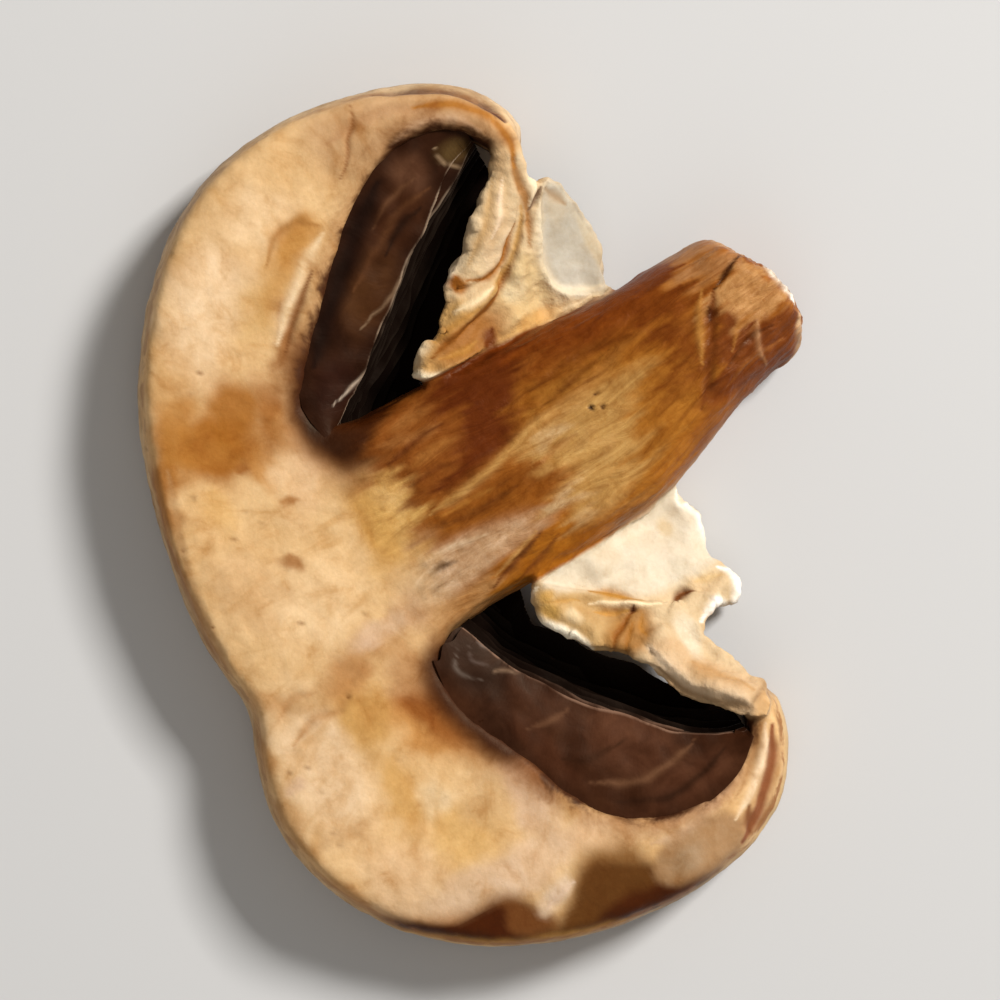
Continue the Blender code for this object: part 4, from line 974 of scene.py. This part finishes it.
def flesh_finish():
    """Moist cut flesh: mottled cream on the cap, brown fibres down the stem, a pale veil and a thin skin."""
    f = Finish("mushroom_flesh")
    place = f.place()
    stem, veil, skin, from_skin = f.mark("stem"), f.mark("veil"), f.mark("skin"), f.mark("from_skin")
    broad, middling = f.specks(place, 2.4, 4, 0.6, 0.5), f.specks(place, 0.75, 4, 0.6)
    fine = f.specks(place, 0.26, 3, 0.6)
    cap = (1 - stem) * (1 - veil)
    colour = f.painted("ground")

    # The cap's soft blotches, the streaks that fan out in it, and its fine crumb
    colour = f.tinted(colour, broad, BLOTCHES, cap * 0.75 + veil * 0.4 + stem * 0.3)
    colour = f.tinted(colour, f.specks(f.painted("fan"), 1.3, 4, 0.55, 0.8), RAYS, cap * 0.55)
    colour = f.tinted(colour, middling, CRUMB, 0.2 + 0.5 * stem)

    # Fibres down the stem
    lengthwise = {"Vector": f.painted("grain"), "Scale": (1.0, 0.26, 0.5)}
    stretched = f.node("ShaderNodeMapping", values=lengthwise)
    long_fibre, hair_fibre = f.specks(stretched, 1.0, 5, 0.65, 1.3), f.specks(stretched, 0.34, 3, 0.6, 0.8)
    colour = f.tinted(colour, long_fibre, FIBRES, stem * 0.7)
    colour = f.tinted(colour, hair_fibre, HAIRS, stem * 0.3)

    # The thin skin round the crown, its cut edge, and specks on it
    edge = from_skin + 0.35 * (broad - 0.5)
    on_cut = cap * (1 - skin)
    rim = edge.step(0.8, 0.5) * edge.step(0.2, 0.35) * on_cut
    colour = f.mix(colour, CUT_SKIN, rim * broad.step(0.42, 0.56) * 0.85)
    colour = f.mix(colour, SKIN_LINE, edge.step(0.32, 0.18) * on_cut * 0.8)
    skin_colour = f.mix(SKIN_DARK, SKIN_LIGHT, f.specks(place, 2.0, 5, 0.65).step(0.32, 0.66))
    skin_colour = f.mix(skin_colour, SKIN_SPECK, f.specks(place, 0.45, 4, 0.6).step(0.58, 0.8) * 0.6)
    colour = f.mix(colour, skin_colour, skin * 0.9)

    # Brown that has soaked in beside the gills, turning near black at the walls and edges of the hollows,
    # where painted shade of the hollows deepens it
    reach = f.mark("from_pocket") + 0.4 * (middling - 0.5) + 2.4 * (broad - 0.5)
    colour = f.mix(colour, SOAKING, reach.step(2.0, 0.1) * cap * 0.7, "MULTIPLY")
    colour = f.mix(colour, SOAKED_AND_SHADE, reach.step(0.7, -0.05) * cap * 0.97)
    colour = f.tinted(colour, fine, GRIT, 0.3)

    crumple = f.specks(place, 0.5, 3, 0.7) * veil * (1 - f.mark("smooth"))
    relief = middling * 0.3 + fine * 0.12 + long_fibre * stem * 0.9 + crumple * 0.7
    f.surface(
        base_color=colour,
        roughness=0.52 - 0.12 * stem + 0.25 * (middling - 0.5),
        normal=f.bump(relief, 0.2, 0.7),
        subsurface_weight=0.04,
        subsurface_radius=(0.0009, 0.0005, 0.0003),
        subsurface_scale=1.0,
        specular_ior_level=0.14,
        specular_tint=(1.0, 0.78, 0.52),
    )
    return f


def gill_angles():
    """The tilts of the gills, in degrees, with short gills between the long ones."""
    long_gills = [GILL_STEP * k for k in range(-7, 8)]
    return sorted(long_gills + [angle + GILL_STEP / 2 for angle in long_gills[3:-4]])


def stops_short(angle):
    """How far a gill ends before the free edge, and less than nothing where it passes the edge."""
    if angle == "upper":
        return UPPER_SHORT
    if angle == "lower":
        return -LOWER_LONG
    short = 0.3 + 0.06 * angle if angle > 0 else max(-1.4, 0.3 + 0.075 * angle)
    return short + (0.5 if angle % GILL_STEP > 0.1 else 0.0)


def flopped(z, low, high):
    """A height as it is between the cut faces, and pressed flat where a gill would stand out of them."""
    z = high - SOFT * math.log1p(math.exp((high - z) / SOFT))
    return low + SOFT * math.log1p(math.exp((z - low) / SOFT))


def on_gill(angle, seed, side, a, b, run, share):
    """Where a gill is, at its run along the hollow and at its share of the way from the wall to the edge."""
    wave = noise.noise(Vector((4 * run, seed, 3.0 + side))) * (2.0 if isinstance(angle, str) else 1.0)
    ruffle = noise.noise(Vector((13 * run, seed, side)))
    reach = (b - a).length - stops_short(angle) + 0.4 * wave + 0.12 * ruffle
    by_stem = max(0, 1 - 5 * run)
    if angle == "lower":
        reach += BY_STEM_LONG * by_stem
    x, y = a + (b - a).normalized() * share * max(0.6, reach)
    if angle == "upper":
        z = GILLS_HIGH - 0.1 - 0.75 * share**2 + 0.12 * noise.noise(Vector((0.7 * x, 0.7 * y, seed)))
    elif angle == "lower":
        z = GILLS_LOW + GILL_THICK + 0.1 + LOWER_RISE * share**2
    else:
        z = THICKNESS / 2 + math.tan(math.radians(angle)) * side * (x - AXIS_X)
        z += 0.25 * noise.noise(Vector((0.3 * x, 0.3 * y, 4 * seed)))
    curled_in = (CURL + CURL_BY_STEM * by_stem) * share * max(0, 1 - 2 * z / THICKNESS)
    ragged = 0.7 + 0.6 * noise.noise(Vector((1.3 * y, seed, 5.0)))
    return x - side * (curled_in + ragged * max(0, 1 - 9 * run)), y, z


def faces_round(corners):
    """The faces that meet at any of the corners, each once."""
    return list(dict.fromkeys(face for v in corners for face in v.link_faces))


def add_gill(bm, marks, angle, side, back, edge):
    """A sheet from the bed to the free edge. A tilted one is cut and pressed flat at the cut faces."""
    lies_flat = isinstance(angle, str)
    along, across = (200, 30) if lies_flat else (80, 10)
    corners = bmesh.ops.create_grid(bm, x_segments=along, y_segments=across, size=0.5)["verts"]
    seed = {"upper": 31.0, "lower": 37.0}[angle] if lies_flat else 0.21 * angle
    shade = 0.5 + 0.5 * noise.noise(Vector((4 * seed, side, 2.0)))
    for v in corners:
        run, share = v.co.x + 0.5, v.co.y + 0.5
        i = min(ALONG - 1, round(run * (ALONG - 1)))
        v.co = on_gill(angle, seed, side, Vector(back[i]), Vector(edge[i]), run, share)
        for mark, value in zip(marks, (share, run, shade)):
            v[mark] = value
    if not lies_flat:
        part = faces_round(corners) + list(dict.fromkeys(e for v in corners for e in v.link_edges)) + corners
        for height, way in ((GILLS_HIGH + 0.6, 1), (GILLS_LOW - 0.6, -1)):
            cut = bmesh.ops.bisect_plane(
                bm, geom=part, plane_co=(0, 0, height), plane_no=(0, 0, way), clear_outer=True)
            part = [g for g in cut["geom"] if g.is_valid]
        corners = [g for g in part if isinstance(g, bmesh.types.BMVert)]
        bmesh.ops.remove_doubles(bm, verts=corners, dist=0.05)
        corners = [v for v in corners if v.is_valid]
        for v in corners:
            sunk = 0.42 + 0.75 * v[marks[0]] ** 2
            v.co.z = flopped(v.co.z, GILLS_LOW + sunk, GILLS_HIGH - sunk)
            v.co.z += 0.10 * noise.noise(Vector((0.8 * v.co.x, 0.8 * v.co.y, 2 * seed))) * v[marks[0]]
    faces = faces_round(corners)
    if not faces:
        return
    slab = bmesh.ops.extrude_face_region(bm, geom=faces, use_keep_orig=True)["geom"]
    lower = [g for g in slab if isinstance(g, bmesh.types.BMVert)]
    bmesh.ops.translate(bm, vec=(0, 0, -GILL_THICK), verts=lower)
    bmesh.ops.recalc_face_normals(bm, faces=faces_round(corners + lower))


def add_bed(bm, marks, wall, back, edge):
    """The bed that the gills grow from, along the wall of the hollow."""
    strip = bmesh.ops.create_grid(bm, x_segments=70, y_segments=8, size=0.5)["verts"]
    for v in strip:
        run, share = v.co.x + 0.5, v.co.y + 0.5
        x, y = back[min(ALONG - 1, round(run * (ALONG - 1)))]
        v.co = (x, y, GILLS_LOW + 0.3 + (GILLS_HIGH - GILLS_LOW - 1.0) * share)
        for mark, value in zip(marks, (0.0, run, 0.5)):
            v[mark] = value
    faces = faces_round(strip)
    bm.normal_update()
    outwards = Vector((*wall[ALONG // 2], 0)) - Vector((*edge[ALONG // 2], 0))
    if sum(face.normal.dot(outwards) for face in faces) < 0:
        bmesh.ops.reverse_faces(bm, faces=faces)
    bmesh.ops.solidify(bm, geom=faces, thickness=BED_THICK)


def gill_form(side, pocket, free_edge):
    """A fan of thin gills between the cap's flesh and their free edge, and the bed they grow from."""
    wall, edge = (resampled(curve_through(line, 0.8), ALONG) for line in (pocket, free_edge))
    hollow = curve_through((*pocket, *free_edge), 0.8, closed=True)
    just_beside = beside(wall, 0.5)[ALONG // 2 : ALONG // 2 + 1]
    inwards = 1 if depth_in(hollow, just_beside)[0] > 0 else -1
    back = beside(wall, -BED_BEHIND * inwards)
    bm = bmesh.new()
    for name in ("share", "run", "shade"):
        bm.verts.layers.float.new(name)
    marks = [bm.verts.layers.float[name] for name in ("share", "run", "shade")]
    for angle in [*gill_angles(), "upper", "lower"]:
        add_gill(bm, marks, angle, side, back, edge)
    add_bed(bm, marks, wall, back, edge)
    bmesh.ops.translate(bm, vec=(-MIDDLE[0], -MIDDLE[1], 0), verts=bm.verts)
    bmesh.ops.scale(bm, vec=(MM, MM, MM), verts=bm.verts)
    mesh = bpy.data.meshes.new("gills")
    bm.to_mesh(mesh)
    bm.free()
    return mesh


def gill_finish():
    """Dark brown gills with faint streaks across them and a pale free edge."""
    f = Finish("gill_brown")
    place, share, run, left = f.place(), f.mark("share"), f.mark("run"), f.mark("left")
    along = f.node("ShaderNodeCombineXYZ", values={0: run * 22, 1: share * 3.0, 2: f.mark("shade") * 9})
    across = {"Vector": along, "Scale": 1.0, "Detail": 4.0, "Roughness": 0.6}
    streak = f.node("ShaderNodeTexNoise", values=across, output="Fac")
    blotch, crumb = f.specks(place, 2.4, 4, 0.55, 0.6), f.specks(place, 0.5, 4, 0.6)
    colour = f.tinted(f.painted("ground"), blotch, GILL_CLOUDS, 0.9)
    colour = f.tinted(colour, streak, GILL_RAYS, 0.45)
    colour = f.tinted(colour, crumb, GILL_GRIT, 0.6)
    edge = (share + 0.03 * (blotch - 0.5)).step(0.965, 0.995) * blotch.step(0.3, 0.6)
    colour = f.mix(colour, f.mix(RIGHT_GILL_RIM, LEFT_GILL_RIM, left), edge * 0.8)
    # painted shade: near black where the gills lie deep
    colour = f.mix(colour, GILL_PAINTED_SHADE, f.mark("deep") * 0.97)
    f.surface(
        base_color=colour,
        roughness=0.5 + 0.25 * (blotch - 0.5),
        normal=f.bump(streak * 0.5 + blotch * 0.8 + 0.12 * crumb, 0.12, 0.55),
        specular_ior_level=0.1,
        specular_tint=(1.0, 0.72, 0.5),
    )
    return f


def gill_piece(name, side, pocket, free_edge, finish):
    """The gills of one hollow, with their stains, and painted shade that darkens them the deeper they lie."""
    mesh = gill_form(side, pocket, free_edge)
    points, normals = corners_of(mesh)
    mm = points / MM
    xy = mm[:, :2] + MIDDLE
    near = xy + 0.2 * np.column_stack((mottle(mm, 1.6, 21, 2), mottle(mm, 1.6, 22, 2)))
    ground = np.tile(LEFT_GILLS if side < 0 else RIGHT_GILLS, (len(xy), 1))
    stained(ground, near, GILL_STAINS)
    stroked(ground, np.zeros(len(xy)), near, GILL_STROKES, ramp(THICKNESS - 2.2, THICKNESS - 1.2, mm[:, 2]))
    carry(mesh, "ground", ground)
    # Painted shade: near black deep inside the slice, and on faces that look up from its lower half
    deep = ramp(1.0, 1.7, np.minimum(mm[:, 2], THICKNESS - mm[:, 2]))
    shadowed = (normals[:, 2] > 0) & (mm[:, 2] < THICKNESS / 2)
    carry(mesh, "deep", np.where(shadowed, 1.0, deep))
    carry(mesh, "left", np.full(len(xy), 1.0 if side < 0 else 0.0))
    made = show(name, mesh, finish)
    sharp = bmesh.new()
    sharp.from_mesh(mesh)
    for edge in sharp.edges:
        edge.smooth = len(edge.link_faces) == 2 and edge.calc_face_angle() < SHARP
    sharp.to_mesh(mesh)
    sharp.free()
    return made


def soft_light(name, place, size, watts):
    """A square panel of light that faces the slice."""
    lamp = bpy.data.lights.new(name, "AREA")
    lamp.size = size
    lamp.energy = watts
    made = bpy.data.objects.new(name, lamp)
    made.location = place
    made.rotation_euler = (-Vector(place)).to_track_quat("-Z", "Y").to_euler()
    bpy.context.scene.collection.objects.link(made)


def stage():
    """A pale table, soft light and a camera that looks straight down."""
    pale = Finish("pale_table")
    pale.surface(base_color=(0.60, 0.585, 0.565), roughness=0.9, specular_ior_level=0.2)
    bm = bmesh.new()
    bmesh.ops.create_grid(bm, x_segments=1, y_segments=1, size=2.0)
    bmesh.ops.translate(bm, vec=(0, 0, -TABLE_GAP), verts=bm.verts)
    mesh = bpy.data.meshes.new("table")
    bm.to_mesh(mesh)
    bm.free()
    show("table", mesh, pale)

    soft_light("key", (0.10, -0.50, 0.46), 0.16, 6.0)
    soft_light("fill", (-0.45, 0.3, 0.5), 0.6, 0.7)
    world = bpy.data.worlds.new("room")
    world.use_nodes = True
    world.node_tree.nodes["Background"].inputs[0].default_value = (1.0, 0.985, 0.96, 1.0)
    world.node_tree.nodes["Background"].inputs[1].default_value = 0.26
    bpy.context.scene.world = world
    bpy.context.scene.view_settings.view_transform = "Standard"

    lens = bpy.data.cameras.new("camera")
    lens.lens = LENS
    lens.sensor_width = SENSOR
    lens.clip_start = 0.01
    camera = bpy.data.objects.new("camera", lens)
    bpy.context.scene.collection.objects.link(camera)
    right = Vector((-math.sin(TURN), -math.cos(TURN), 0))
    up = Vector((math.cos(TURN), -math.sin(TURN), 0))
    turn = Matrix((right, up, right.cross(up))).transposed()
    camera.matrix_world = Matrix.Translation((0.0, 0.0, CAMERA_HEIGHT)) @ turn.to_4x4()
    bpy.context.scene.camera = camera


def main():
    gills = gill_finish()
    left_wall, left_edge = LEFT_POCKET[:1:-1], LEFT_GILL_EDGE
    right_wall, right_edge = RIGHT_POCKET[:-1], RIGHT_GILL_EDGE[::-1]
    pieces = (
        (flesh_piece(flesh_finish()), "cap_and_stem", "flesh"),
        (gill_piece("left_gills", -1, left_wall, left_edge, gills), "gills_left", "gills"),
        (gill_piece("right_gills", 1, right_wall, right_edge, gills), "gills_right", "gills"),
    )
    for piece, node, slot in pieces:
        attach(piece, "root")
        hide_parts(node)
    stage()


main()
